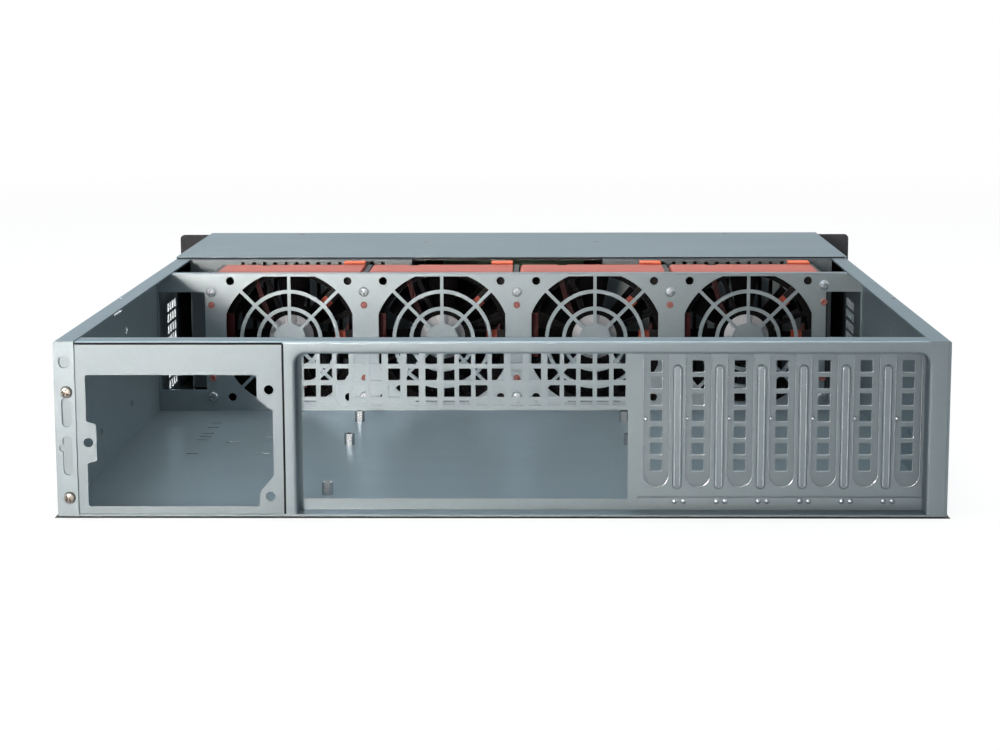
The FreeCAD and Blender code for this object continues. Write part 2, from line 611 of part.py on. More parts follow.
def rack_ear():
    """Right-angle ear on the +X side: slotted face and a flange against the side wall."""
    x0 = WALL + 0.1
    d1 = FRONT_D
    face = rounded_y((x0, EAR_W / 2), EAR_Z, (d1 - EAR_T, d1), 3.0, ("tr", "br"))
    flange = block((x0, x0 + EAR_T), (495, d1), (EAR_Z[0] + 3, EAR_Z[1] - 3))
    ear = fuse([face, flange])
    middle = (EAR_Z[0] + EAR_Z[1]) / 2
    through = (d1 - 4, d1 + 2)
    cuts = [stadium_y(EAR_SLOTS_X / 2, middle + s * EAR_SLOTS_Z / 2, EAR_SLOT[0], EAR_SLOT[1], through)
            for s in (-1, 1)]
    cuts += [rod_x(d, z, 1.6, (x0 - 1, x0 + 4)) for d, z in EAR_SCREWS]
    return ear.cut(Part.makeCompound(cuts))


def ear_screws():
    """Flat screws that hold each ear's flange to the side wall."""
    screws = []
    for side in (-1, 1):
        x0 = WALL - SHEET
        for d, z in EAR_SCREWS:
            shank = rod_x(d, z, 1.55, (side * x0, side * (WALL + 0.1 + EAR_T)))
            head = rod_x(d, z, 2.9, (side * (WALL + 0.1 + EAR_T), side * (WALL + 0.1 + EAR_T + 1.2)))
            screws.append(fuse([shank, head]))
    return Part.makeCompound(screws)


def bay_cover():
    """Blank for the small drive bay, clipped into the front panel."""
    plate = rounded_y((-52.5, 52.5), (12.7, 41.3), (FRONT_D, FRONT_D + 2), 1.5, ("tl", "tr", "bl", "br"))
    rim = block((-50.9, 50.9), (FRONT_D - 12, FRONT_D), (14.3, 39.7))
    rim = rim.cut(block((-49.2, 49.2), (FRONT_D - 13, FRONT_D - 0.5), (16, 38)))
    grip = stadium_y(0, 17.0, 30, 1.6, (FRONT_D + 1.2, FRONT_D + 3))
    return fuse([plate, rim]).cut(grip)


POWER = (-38.0, 65.0)
RESET = (-20.0, 65.0)
LEDS = [(-6.0 + 8.0 * k, 65.0) for k in range(3)]
USB = [(24.0, 65.0), (42.0, 65.0)]
POWER_R, RESET_R, LED_R = 6.0, 2.3, 1.5
BOARD_FACE = 541.6
PRESS = 1.5


def control_panel():
    """Moulded bezel that carries the buttons, lamps and sockets."""
    plate = rounded_y((-56, 56), (50.5, 79.5), (FRONT_D, FRONT_D + 2), 2.0, ("tl", "tr", "bl", "br"))
    rim = block((-50.7, 50.7), (BOARD_FACE, FRONT_D), (53.3, 76.7))
    rim = rim.cut(block((-49.2, 49.2), (BOARD_FACE - 1, FRONT_D), (54.8, 75.2)))
    bezel = fuse([plate, rim])
    span = (FRONT_D - 1, FRONT_D + 3)
    cuts = [rod_y(POWER[0], POWER[1], POWER_R + 0.3, span), rod_y(RESET[0], RESET[1], RESET_R + 0.3, span)]
    cuts += [rod_y(x, z, LED_R, span) for x, z in LEDS]
    cuts += [block((x - 6.9, x + 6.9), span, (z - 3.2, z + 3.2)) for x, z in USB]
    return bezel.cut(Part.makeCompound(cuts))


def control_board():
    """Circuit board behind the bezel, with a push switch behind each button."""
    board = block((-50.7, 50.7), (BOARD_FACE - 1.6, BOARD_FACE), (53.3, 76.7))
    switches = [block((x - 3, x + 3), (BOARD_FACE, BOARD_FACE + 1.9), (z - 3, z + 3))
                for x, z in (POWER, RESET)]
    header = block((-10, 12), (BOARD_FACE - 8, BOARD_FACE - 1.6), (57, 62))
    return fuse([board, header] + switches)


def push_button(place, radius, face):
    """Button with a retaining flange inside the bezel and a stem towards its switch."""
    x, z = place
    cap = rod_y(x, z, radius, (FRONT_D - 1.6, face))
    flange = rod_y(x, z, radius + 1.5, (FRONT_D - 1.6, FRONT_D - 0.1))
    stem = rod_y(x, z, 1.4, (BOARD_FACE + 1.9 + PRESS + 0.4, FRONT_D - 1.6))
    return fuse([cap, flange, stem])


def led_lenses():
    return Part.makeCompound([rod_y(x, z, LED_R, (BOARD_FACE, FRONT_D + 2.4)) for x, z in LEDS])


def usb_port(index):
    """Socket shell with its tongue, standing on the control board."""
    x, z = USB[index]
    shell = block((x - 6.6, x + 6.6), (BOARD_FACE, FRONT_D + 1.6), (z - 2.9, z + 2.9))
    shell = shell.cut(block((x - 6.2, x + 6.2), (BOARD_FACE + 1, FRONT_D + 3), (z - 2.5, z + 2.5)))
    tongue = block((x - 5.4, x + 5.4), (BOARD_FACE, FRONT_D + 0.8), (z + 0.3, z + 2.0))
    return fuse([shell, tongue])


# ---- write every sub-part -------------------------------------------------------------------
def parts():
    yield "chassis_tray", chassis_tray()
    yield "rear_panel", rear_panel()
    yield "psu_bracket", psu_bracket()
    yield "psu_bracket_screws", psu_bracket_screws()
    for index in range(SLOTS):
        yield f"slot_cover_{index + 1}", slot_cover(index)
    yield "fan_wall", fan_wall()
    yield "fan_wall_screws", fan_wall_screws()
    yield "fan_wall_rivets", fan_wall_rivets()
    for index in range(FANS + 1):
        yield f"fan_guide_{index + 1}", fan_guide(index)
    for index in range(FANS):
        yield f"fan_cage_{index + 1}", fan_cage(index)
        yield f"fan_frame_{index + 1}", fan_frame(index)
        yield f"fan_motor_cap_{index + 1}", fan_motor_cap(index)
        yield f"fan_lead_{index + 1}", fan_lead(index)
        yield f"fan_rotor_{index + 1}", fan_rotor(index)
    yield "standoffs", standoffs()
    yield "drive_cage_left", drive_cage(CAGE_LEFT, CAGE_LEFT[0])
    yield "drive_cage_right", drive_cage(CAGE_RIGHT, CAGE_RIGHT[1])
    yield "front_cover", front_cover()
    yield "cover_screws", cover_screws()
    yield "front_panel", front_panel()
    yield "dust_filter_left", dust_filter(1)
    yield "dust_filter_right", dust_filter(-1)
    yield "rack_ear_left", rack_ear()
    yield "rack_ear_right", mirror_x(rack_ear())
    yield "ear_screws", ear_screws()
    yield "bay_cover", bay_cover()
    yield "control_panel", control_panel()
    yield "control_board", control_board()
    yield "led_lenses", led_lenses()
    for index in range(len(USB)):
        yield f"usb_port_{index + 1}", usb_port(index)
    yield "power_button", push_button(POWER, POWER_R, FRONT_D + FRONT_PROUD)
    yield "reset_button", push_button(RESET, RESET_R, FRONT_D + 2)


os.makedirs("parts", exist_ok=True)
for name, shape in parts():
    shape.exportStep(f"parts/{name}.step")
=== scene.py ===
"""Finishes, fasteners and pressed details for an empty two-unit rack server case."""

import json
import math

import bmesh
import bpy
from mathutils import Matrix, Vector


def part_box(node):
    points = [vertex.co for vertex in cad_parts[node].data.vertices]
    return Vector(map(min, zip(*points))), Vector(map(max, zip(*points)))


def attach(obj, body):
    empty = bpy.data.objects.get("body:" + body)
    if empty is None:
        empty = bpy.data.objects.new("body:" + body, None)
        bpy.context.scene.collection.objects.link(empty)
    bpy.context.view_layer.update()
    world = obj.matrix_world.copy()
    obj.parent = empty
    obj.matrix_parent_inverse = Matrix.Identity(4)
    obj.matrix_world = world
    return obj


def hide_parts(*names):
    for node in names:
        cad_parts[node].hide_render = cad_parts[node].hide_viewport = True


bl_info = {
    "name": "Rack Server Case Finisher",
    "version": (1, 0, 0),
    "blender": (4, 5, 0),
    "location": "View3D > Sidebar > Server Case",
    "description": "Dresses a rack server case with zinc-coated sheet, moulded fan carriers and fasteners",
    "category": "Object",
}

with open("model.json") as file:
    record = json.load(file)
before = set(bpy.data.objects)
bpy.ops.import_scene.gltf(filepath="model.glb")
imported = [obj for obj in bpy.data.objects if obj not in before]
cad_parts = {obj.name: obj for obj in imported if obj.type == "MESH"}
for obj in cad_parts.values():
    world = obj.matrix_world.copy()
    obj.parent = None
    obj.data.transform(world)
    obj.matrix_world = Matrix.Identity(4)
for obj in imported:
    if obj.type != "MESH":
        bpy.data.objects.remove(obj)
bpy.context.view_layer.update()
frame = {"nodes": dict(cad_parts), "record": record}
NODES = frame["nodes"]
BODY_OF = {node: body for body, nodes in frame["record"]["behaviour"]["bodies"].items() for node in nodes}
SLOT_OF = {part["node"]: part["material_slot"] for part in frame["record"]["subparts"]}
MM = 0.001
FANS = 4
ROOT = "chassis"
# Options that settings of one kind share.
COLOUR = {"subtype": "COLOR", "size": 3, "min": 0, "max": 1}
LENGTH = {"unit": "LENGTH", "min": 0, "precision": 5}
SHARE = {"subtype": "FACTOR", "min": 0, "max": 1}


# ---- settings -------------------------------------------------------------------------------
class CaseSteelSettings(bpy.types.PropertyGroup):
    """Zinc-coated sheet, screws and standoffs."""

    zinc_colour: bpy.props.FloatVectorProperty(
        name="Zinc Colour", description="Colour of the zinc-coated sheet", default=(0.172, 0.208, 0.227),
        **COLOUR)
    grazing_tint: bpy.props.FloatVectorProperty(
        name="Grazing Tint", description="Tint of the zinc's reflections at a low angle",
        default=(0.170, 0.236, 0.298), **COLOUR)
    zinc_roughness: bpy.props.FloatProperty(
        name="Zinc Roughness", description="How matt the zinc is", default=0.31, **SHARE)
    edge_easing: bpy.props.FloatProperty(
        name="Edge Easing", description="How far cut and folded edges of the sheet are rounded",
        default=0.28 * MM, **LENGTH)
    screw_colour: bpy.props.FloatVectorProperty(
        name="Screw Colour", description="Colour of the bronze-plated bracket screws",
        default=(0.24, 0.225, 0.205), **COLOUR)
    wall_screw_colour: bpy.props.FloatVectorProperty(
        name="Wall Screw Colour", description="Colour of the blue-white plated fan wall screws",
        default=(0.27, 0.305, 0.33), **COLOUR)


class CasePlasticSettings(bpy.types.PropertyGroup):
    """Fan carriers, rivets, fans and bezels."""

    carrier_colour: bpy.props.FloatVectorProperty(
        name="Carrier Colour", description="Colour of the moulded fan carriers",
        default=(0.205, 0.036, 0.021), **COLOUR)
    # Painted shade: the black laid on the carriers' arms at the rear, where they lie in shadow behind the fan wall.
    arm_shade_colour: bpy.props.FloatVectorProperty(
        name="Arm Shade Colour", description="Colour of the soft sleeves on the carriers' arms",
        default=(0.004, 0.004, 0.0045), **COLOUR)
    # The wires' own colour. It is also laid on one side of each carrier's arms as dark red painted shade.
    wire_and_band_shade_colour: bpy.props.FloatVectorProperty(
        name="Wire And Band Shade Colour", description="Colour of the fans' wires and of the band on the carriers",
        default=(0.026, 0.0022, 0.003), **COLOUR)
    rivet_colour: bpy.props.FloatVectorProperty(
        name="Rivet Colour", description="Colour of the push rivets", default=(0.19, 0.060, 0.052), **COLOUR)
    fan_colour: bpy.props.FloatVectorProperty(
        name="Fan Colour", description="Colour of the fan frames and impellers",
        default=(0.003, 0.003, 0.0035), **COLOUR)
    bezel_colour: bpy.props.FloatVectorProperty(
        name="Bezel Colour", description="Colour of the front bezel, blank and buttons",
        default=(0.022, 0.022, 0.025), **COLOUR)
    moulded_easing: bpy.props.FloatProperty(
        name="Moulded Easing", description="Rounding of moulded edges", default=0.45 * MM, **LENGTH)


class CaseFastenerSettings(bpy.types.PropertyGroup):
    """Screws and push rivets."""

    recess_depth: bpy.props.FloatProperty(
        name="Recess Depth", description="Depth of the cross recess as a share of the head's height",
        default=0.75, **SHARE)
    recess_width: bpy.props.FloatProperty(
        name="Recess Width", description="Width of a recess arm as a share of the head's radius",
        default=0.17, **SHARE)
    seed: bpy.props.IntProperty(
        name="Turn Seed", description="Seed for how far round each screw has been driven", min=0, default=7)


class CaseDetailSettings(bpy.types.PropertyGroup):
    """Pressed details, black cords that paint the shadow in seams, and fan wires."""

    dimple_radius: bpy.props.FloatProperty(
        name="Dimple Radius", description="Radius of the pressed locating dimples", default=1.1 * MM,
        **LENGTH)
    lance_length: bpy.props.FloatProperty(
        name="Lance Length", description="Length of the lanced tabs of the sheet", default=3.4 * MM, **LENGTH)
    # Black cords that paint the shadow in the seams of the cover and the bracket.
    seal_radius: bpy.props.FloatProperty(
        name="Seam Shadow Radius", description="Radius of the black cord seals in the seams", default=0.6 * MM,
        **LENGTH)
    # Pale cords that paint the highlights on the edges of the slot windows, vent holes and ribs.
    rim_radius: bpy.props.FloatProperty(
        name="Rim Radius", description="Radius of the rolled rims of the slot windows", default=0.27 * MM,
        **LENGTH)
    wire_radius: bpy.props.FloatProperty(
        name="Wire Radius", description="Radius of one wire of a fan's lead", default=0.42 * MM, **LENGTH)


class CaseStudioSettings(bpy.types.PropertyGroup):
    """Floor, lamps and camera."""

    camera_place: bpy.props.FloatVectorProperty(
        name="Camera Place", description="Where the camera stands", subtype="TRANSLATION", unit="LENGTH",
        size=3, default=(-0.0186, 1.3273, 0.2399))
    camera_pan: bpy.props.FloatProperty(
        name="Camera Pan", description="Turn of the camera from square to the rear panel", subtype="ANGLE",
        default=0.01795)
    camera_tilt: bpy.props.FloatProperty(
        name="Camera Tilt", description="How far the camera looks down", subtype="ANGLE", default=0.1605)
    camera_roll: bpy.props.FloatProperty(
        name="Camera Roll", description="Lean of the camera", subtype="ANGLE", default=-0.003)
    camera_lens: bpy.props.FloatProperty(
        name="Lens", description="Focal length on a 36 mm sensor", unit="CAMERA", min=1, default=79.95)
    key_power: bpy.props.FloatProperty(
        name="Key Power", description="Power of the low lamp beside the power supply end", min=0, default=2.3)
    key_spread: bpy.props.FloatProperty(
        name="Key Spread", description="Angle over which the gridded key lamp spreads", subtype="ANGLE",
        min=0, max=math.pi, default=math.radians(13))
    key_tint: bpy.props.FloatVectorProperty(
        name="Key Tint", description="Colour of the key lamp", default=(1.0, 0.86, 0.77), **COLOUR)
    glint_power: bpy.props.FloatProperty(
        name="Glint Power", description="Power of the small lamp that catches pressed edges", min=0,
        default=4.0)
    side_power: bpy.props.FloatProperty(
        name="Side Power", description="Power of the lamp that lights the inside of the power supply end",
        min=0, default=30.0)
    return_power: bpy.props.FloatProperty(
        name="Return Power", description="Power of the lamp that lights the inside of the slot end", min=0,
        default=12.0)
    top_power: bpy.props.FloatProperty(
        name="Top Power", description="Power of the overhead lamp", min=0, default=54.0)
    top_tint: bpy.props.FloatVectorProperty(
        name="Top Tint", description="Colour of the overhead and side lamps", default=(0.86, 0.97, 1.0),
        **COLOUR)
    room_level: bpy.props.FloatProperty(
        name="Room Level", description="Strength of the light from all round", min=0, default=0.4)
    room_bright: bpy.props.FloatProperty(
        name="Room Bright Side", description="Strength of the room in reflections towards the key lamp",
        min=0, default=1.8)
    room_dark: bpy.props.FloatProperty(
        name="Room Dark Side", description="Strength of the room in reflections away from the key lamp",
        min=0, default=0.3)
    floor_fall: bpy.props.FloatProperty(
        name="Floor Fall", description="Strength of the floor in reflections at the slot end", min=0,
        default=0.42)
    floor_colour: bpy.props.FloatVectorProperty(
        name="Floor Colour", description="Colour of the studio floor", default=(0.55, 0.55, 0.55), **COLOUR)
    floor_glow: bpy.props.FloatProperty(
        name="Floor Glow", description="Share of the floor beside the case that shows as plain white",
        default=0.86, **SHARE)


SETTINGS = {
    "case_steel": CaseSteelSettings,
    "case_plastic": CasePlasticSettings,
    "case_fastener": CaseFastenerSettings,
    "case_detail": CaseDetailSettings,
    "case_studio": CaseStudioSettings,
}


# ---- node helpers ---------------------------------------------------------------------------
class Nodes:
    """Short names for adding and joining nodes in one tree."""

    def __init__(self, tree):
        self.tree = tree

    def add(self, kind, inputs=None, **settings):
        node = self.tree.nodes.new(kind)
        for name, value in settings.items():
            setattr(node, name, value)
        return self.fill(node, inputs or {})

    def fill(self, node, inputs):
        for name, value in inputs.items():
            self.feed(node.inputs[name], value)
        return node

    def feed(self, socket, value):
        if isinstance(value, bpy.types.NodeSocket):
            self.tree.links.new(value, socket)
        else:
            socket.default_value = value

    def place(self, space="Object"):
        return self.add("ShaderNodeTexCoord").outputs[space]

    def axes(self, vector):
        return self.add("ShaderNodeSeparateXYZ", {"Vector": vector}).outputs

    def math(self, operation, a, b=0.5):
        return self.add("ShaderNodeMath", {0: a, 1: b}, operation=operation).outputs[0]

    def product(self, value, *factors):
        for factor in factors:
            value = self.math("MULTIPLY", value, factor)
        return value

    def scaled(self, vector, scale):
        return self.add("ShaderNodeVectorMath", {0: vector, "Scale": scale}, operation="SCALE").outputs[0]

    def noise(self, coordinates, scale, detail=2.0, roughness=0.5):
        return self.add("ShaderNodeTexNoise", {"Vector": coordinates, "Scale": scale, "Detail": detail,
                                               "Roughness": roughness}).outputs["Fac"]

    def ramp(self, value, low, high, to_low=0.0, to_high=1.0):
        return self.add("ShaderNodeMapRange", {"Value": value, "From Min": low, "From Max": high,
                                               "To Min": to_low, "To Max": to_high}).outputs["Result"]

    def blend(self, factor, a, b):
        return self.add("ShaderNodeMix", {0: factor, 6: a, 7: b}, data_type="RGBA").outputs[2]

    def bump(self, height, strength, distance):
        return self.add("ShaderNodeBump", {"Height": height, "Strength": strength, "Distance": distance}).outputs[0]


def shader_group(name, inputs, outputs):
    """A new shader node group with named float inputs and outputs; returns its helper and its two end nodes."""
    group = bpy.data.node_groups.new(name, "ShaderNodeTree")
    for label, default in inputs:
        socket = group.interface.new_socket(label, in_out="INPUT", socket_type="NodeSocketFloat")
        socket.default_value = default
    for label in outputs:
        group.interface.new_socket(label, in_out="OUTPUT", socket_type="NodeSocketFloat")
    return Nodes(group), group.nodes.new("NodeGroupInput").outputs, group.nodes.new("NodeGroupOutput")


def rgba(colour):
    return (*colour, 1.0)


def shade(colour, share):
    return [share * channel for channel in colour]


def zinc_bloom_group():
    """Faint stains, rolling streaks and fine crystals of a zinc coat."""
    s, given, out = shader_group("Zinc Bloom", (("Stain Scale", 14.0), ("Crystal Scale", 260.0),
                                                ("Streak Scale", 40.0)), ("Stain", "Crystal", "Height"))
    place = s.place()
    warp = s.add("ShaderNodeTexNoise", {"Vector": place, "Scale": 14.0, "Detail": 2.0}).outputs["Color"]
    moved = s.add("ShaderNodeVectorMath", {0: place, 1: s.scaled(warp, 0.02)}, operation="ADD").outputs[0]
    broad = s.noise(place, given["Stain Scale"], 3.0, 0.5)
    stretched = s.add("ShaderNodeMapping", {"Vector": place, "Scale": (0.12, 1.0, 1.0)}).outputs[0]
    streak = s.noise(stretched, given["Streak Scale"], 1.0, 0.4)
    cells = s.add("ShaderNodeTexVoronoi", {"Vector": moved, "Scale": given["Crystal Scale"]})
    crystal = s.add("ShaderNodeSeparateColor", {"Color": cells.outputs["Color"]}).outputs[0]
    stain = s.math("ADD", s.math("MULTIPLY", broad, 0.72), s.math("MULTIPLY", streak, 0.28))
    s.fill(out, {"Stain": s.ramp(stain, 0.36, 0.64), "Crystal": crystal, "Height": s.noise(place, 90.0, 3.0)})
    return out.id_data


def moulded_grain_group():
    """Fine spark-eroded grain with slow changes of gloss, for moulded plastic and powder coat."""
    s, given, out = shader_group("Moulded Grain", (("Grain Scale", 1400.0), ("Patch Scale", 30.0)),
                                 ("Height", "Patch"))
    place = s.place()
    s.feed(out.inputs["Height"], s.noise(place, given["Grain Scale"], 3.0, 0.6))
    s.feed(out.inputs["Patch"], s.ramp(s.noise(place, given["Patch Scale"], 3.0, 0.55), 0.35, 0.65))
    return out.id_data


def dust_group():
    """Thin dust that lies on faces turned upwards, broken into patches."""
    s, given, out = shader_group("Settled Dust", (("Amount", 0.3), ("Patch Scale", 60.0)), ("Mask",))
    normal = s.add("ShaderNodeNewGeometry").outputs["Normal"]
    lying = s.ramp(s.axes(normal)["Z"], 0.5, 0.95)
    patch = s.ramp(s.noise(s.place(), given["Patch Scale"], 4.0, 0.6), 0.3, 0.75)
    s.feed(out.inputs["Mask"], s.product(lying, patch, given["Amount"]))
    return out.id_data


GROUPS = {}


def group_outputs(shader, name, **values):
    """The outputs of a new node for one of the groups, with its inputs set."""
    inputs = {label.replace("_", " "): value for label, value in values.items()}
    return shader.fill(shader.add("ShaderNodeGroup", node_tree=GROUPS[name]), inputs).outputs


def new_material(name):
    """A material with an empty tree but for its output and Principled shader."""
    material = bpy.data.materials.new(name)
    material.use_nodes = True
    return material, Nodes(material.node_tree), material.node_tree.nodes["Principled BSDF"]


def zinc_material(name, light, dark, roughness, metallic=0.65, crystal_scale=420.0, grain=0.0,
                  grazing=(1.0, 1.0, 1.0)):
    """Zinc coat with stains in its colour and crystals in its gloss."""
    material, s, principled = new_material(name)
    bloom = group_outputs(s, "Zinc Bloom", Crystal_Scale=crystal_scale)
    stained = s.blend(bloom["Stain"], rgba(dark), rgba(light))
    rough = s.ramp(bloom["Stain"], 0.0, 1.0, roughness + 0.012, roughness - 0.012)
    s.fill(principled, {
        "Base Color": s.scaled(stained, s.ramp(bloom["Crystal"], 0.0, 1.0, 0.985, 1.015)),
        "Roughness": s.math("ADD", rough, s.ramp(bloom["Crystal"], 0.0, 1.0, -0.008, 0.008))})
    principled.inputs["Metallic"].default_value = metallic
    principled.inputs["Specular Tint"].default_value = rgba(grazing)
    if grain:
        s.feed(principled.inputs["Normal"], s.bump(bloom["Height"], grain, 0.12 * MM))
    return material


DUST_COLOUR = (0.42, 0.42, 0.42)


def moulded_material(name, colour, roughness, patch_shift=0.08, grain=0.18, grain_scale=1400.0, dust_amount=0.04,
                     gloss=0.25, overlay=None):
    """Matt moulded plastic or powder coat with fine grain and a thin dust; overlay adds further colours."""
    material, s, principled = new_material(name)
    moulded = group_outputs(s, "Moulded Grain", Grain_Scale=grain_scale)
    dust = group_outputs(s, "Settled Dust", Amount=dust_amount)
    paler = [0.88 * channel + 0.06 * (channel + max(colour)) for channel in colour]
    tint = s.blend(moulded["Patch"], rgba(colour), rgba(paler))
    if overlay:
        tint = overlay(s, tint)
    s.fill(principled, {
        "Base Color": s.blend(dust["Mask"], tint, rgba(DUST_COLOUR)),
        "Roughness": s.ramp(moulded["Patch"], 0.0, 1.0, roughness - patch_shift, roughness + patch_shift),
        "Normal": s.bump(moulded["Height"], grain, 0.1 * MM)})
    principled.inputs["Specular IOR Level"].default_value = gloss
    return material


# Reach of the painted shade on a carrier's arms from the middle of its fan, and the level above which the latch
# stands.
ARM_SHADE_TOP = 37.5 * MM
ARM_SHADE_SIDE = 40.5 * MM
ARM_SHADE_RADIUS = 33.5 * MM
BAND_SHADE_SIDE = 30.0 * MM
LATCH_LEVEL = 86.2 * MM
# Painted light: the latch's stronger orange stands in for the lesser white sheen its tilted faces catch.
LATCH_PAINTED_LIGHT_COLOUR = (0.36, 0.062, 0.018)


def carrier_painted_light(s, tint, arm_shade, band_shade):
    """Painted light on each fan carrier: a stronger orange on the latch for the lesser sheen of its tilted faces,
    and painted shade on its arms, black at the rear outside the fan's circle and dark red on one side.
    """
    place = s.axes(s.place())
    first, second = (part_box(f"fan_rotor_{index}") for index in (1, 2))
    first_x, second_x = (middle(box, 0) for box in (first, second))
    pitch = first_x - second_x
    steps = s.math("DIVIDE", s.math("SUBTRACT", place["X"], first_x), pitch)
    across = s.math("MULTIPLY", s.math("SUBTRACT", steps, s.math("ROUND", steps)), pitch)
    up = s.math("SUBTRACT", place["Z"], middle(first, 2))
    radius = s.math("SQRT", s.math("ADD", s.math("MULTIPLY", across, across), s.math("MULTIPLY", up, up)))
    below = s.math("LESS_THAN", up, ARM_SHADE_TOP)
    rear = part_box("fan_frame_1")[1][1] - 0.2 * MM
    arm = s.product(s.math("GREATER_THAN", place["Y"], rear), below,
                    s.math("LESS_THAN", s.math("ABSOLUTE", across), ARM_SHADE_SIDE))
    # Painted shade: black at the rear outside the fan's circle and dark red on one side, where the arms lie in
    # shadow.
    outer = s.math("MULTIPLY", arm, s.math("GREATER_THAN", radius, ARM_SHADE_RADIUS))
    far = s.math("MULTIPLY", below, s.math("GREATER_THAN", across, BAND_SHADE_SIDE))
    # Painted light: above its level the latch takes the stronger orange.
    tint = s.blend(s.math("GREATER_THAN", place["Z"], LATCH_LEVEL), tint, rgba(LATCH_PAINTED_LIGHT_COLOUR))
    return s.blend(far, s.blend(outer, tint, rgba(arm_shade)), rgba(band_shade))


def foam_material():
    """Open-cell black foam: dark pits between paler struts."""
    material, s, principled = new_material("Filter Foam")
    cells = s.add("ShaderNodeTexVoronoi", {"Vector": s.place(), "Scale": 900.0}, feature="DISTANCE_TO_EDGE")
    strut = s.ramp(cells.outputs["Distance"], 0.02, 0.22, 1.0, 0.0)
    s.fill(principled, {
        "Base Color": s.blend(strut, (0.006, 0.006, 0.007, 1.0), (0.035, 0.035, 0.038, 1.0)),
        "Roughness": s.ramp(strut, 0.0, 1.0, 0.95, 0.8), "Normal": s.bump(strut, 0.8, 0.6 * MM)})
    return material


def board_material():
    """Green solder mask with faint copper runs under it."""
    material, s, principled = new_material("Solder Mask")
    place = s.place()
    upright = s.add("ShaderNodeMapping", {"Vector": place, "Rotation": (math.pi / 2, 0, 0)}).outputs[0]
    runs = s.add("ShaderNodeTexBrick", {"Vector": upright, "Scale": 160.0, "Mortar Size": 0.03})
    s.fill(principled, {
        "Base Color": s.blend(runs.outputs["Fac"], (0.012, 0.075, 0.035, 1.0), (0.03, 0.15, 0.07, 1.0)),
        "Roughness": s.ramp(s.noise(place, 80.0), 0.3, 0.7, 0.28, 0.42)})
    return material


def lens_material():
    """Clear lens of a lamp, slightly milky inside."""
    material, s, principled = new_material("Lamp Lens")
    cloud = s.noise(s.place(), 700.0, 2.0)
    s.fill(principled, {
        "Base Color": s.blend(cloud, (0.62, 0.68, 0.66, 1.0), (0.80, 0.84, 0.82, 1.0)),
        "Roughness": s.ramp(cloud, 0.3, 0.7, 0.12, 0.24)})
    principled.inputs["Transmission Weight"].default_value = 0.45
    return material


MATERIALS = {}


def make_materials(settings):
    """Every finish of the case, by the record's slot names and a few more."""
    steel, plastic = settings.case_steel, settings.case_plastic
    GROUPS.update({"Zinc Bloom": zinc_bloom_group(), "Moulded Grain": moulded_grain_group(),
                   "Settled Dust": dust_group()})
    # Zinc sheet: the pale and stained shares of the zinc colour, and roughness.
    for slot, label, light, dark, roughness in (
            ("galvanised", "Zinc Coated Sheet", 1.0, 0.95, steel.zinc_roughness),
            # Painted shade: darker copies of the same zinc, at 0.84 for the slot covers and bracket, and at 0.42
            # and rougher for the drive cages.
            ("shaded_zinc", "Zinc Sheet In Painted Shade", 0.84, 0.84, steel.zinc_roughness),
            ("dull_shaded_zinc", "Dull Zinc Sheet In Painted Shade", 0.42, 0.42, 0.36)):
        pale, stained = shade(steel.zinc_colour, light), shade(steel.zinc_colour, dark)
        MATERIALS[slot] = zinc_material(label, pale, stained, roughness, grazing=steel.grazing_tint)
    screw, wall_screw = steel.screw_colour, steel.wall_screw_colour
    # Label, pale colour, stained colour, roughness, share of metal, crystals to the metre, grain.
    for slot, *values in (
            ("screw_steel", "Plated Screw", screw, shade(screw, 0.8), 0.30, 0.95, 900.0, 0.1),
            ("wall_screw", "Wall Screw", wall_screw, shade(wall_screw, 0.7), 0.38, 0.85, 900.0, 0.1),
            # Painted highlight: this zinc is far paler than the sheet, standing in for the light that edges and
            # domes catch.
            ("rim", "Rolled Rim", (0.40, 0.44, 0.46), (0.34, 0.38, 0.40), 0.24, 0.9),
            ("standoff_brass", "Nickel Standoff", (0.40, 0.42, 0.43), (0.32, 0.34, 0.35), 0.22, 0.95, 900.0, 0.08),
            ("motor_metal", "Motor Cap Metal", (0.30, 0.32, 0.345), (0.25, 0.265, 0.285), 0.5, 0.6, 1200.0, 0.1),
            ("socket_metal", "Socket Metal", (0.58, 0.59, 0.60), (0.48, 0.49, 0.50), 0.24, 0.95, 900.0, 0.06)):
        MATERIALS[slot] = zinc_material(*values)
    # The carriers' overlay paints shade on their arms and a stronger orange on their latches.
    MATERIALS["cage_plastic"] = moulded_material(
        "Coral Carrier", plastic.carrier_colour, 0.5, 0.05, 0.12, gloss=0.1,
        overlay=lambda s, tint: carrier_painted_light(s, tint, plastic.arm_shade_colour, plastic.wire_and_band_shade_colour))
    # Label, colour, roughness, its change between patches, grain, grain to the metre, dust, gloss.
    for slot, *values, gloss in (
            ("rivet_plastic", "Coral Rivet", plastic.rivet_colour, 0.40, 0.05, 0.10, 0.25),
            ("bezel_plastic", "Black Bezel Plastic", plastic.bezel_colour, 0.50, 0.08, 0.22, 0.25),
            ("black_paint", "Black Powder Coat", (0.018, 0.018, 0.020), 0.6, 0.06, 0.55, 900.0, 0.15),
            # Painted shadow: the black of the cords laid in the seams of the cover and the bracket.
            ("seal", "Black Seal", (0.008, 0.008, 0.009), 0.7, 0.05, 0.2, 0.05),
            ("lead_wire", "Wire Insulation", plastic.wire_and_band_shade_colour, 0.45, 0.05, 0.05, 0.25),
            ("fan_plastic", "Black Fan Plastic", plastic.fan_colour, 0.6, 0.08, 0.15, 1400.0, 0.0, 0.03)):
        MATERIALS[slot] = moulded_material(*values, gloss=gloss)
    MATERIALS.update({"filter_foam": foam_material(), "board": board_material(), "lens": lens_material()})


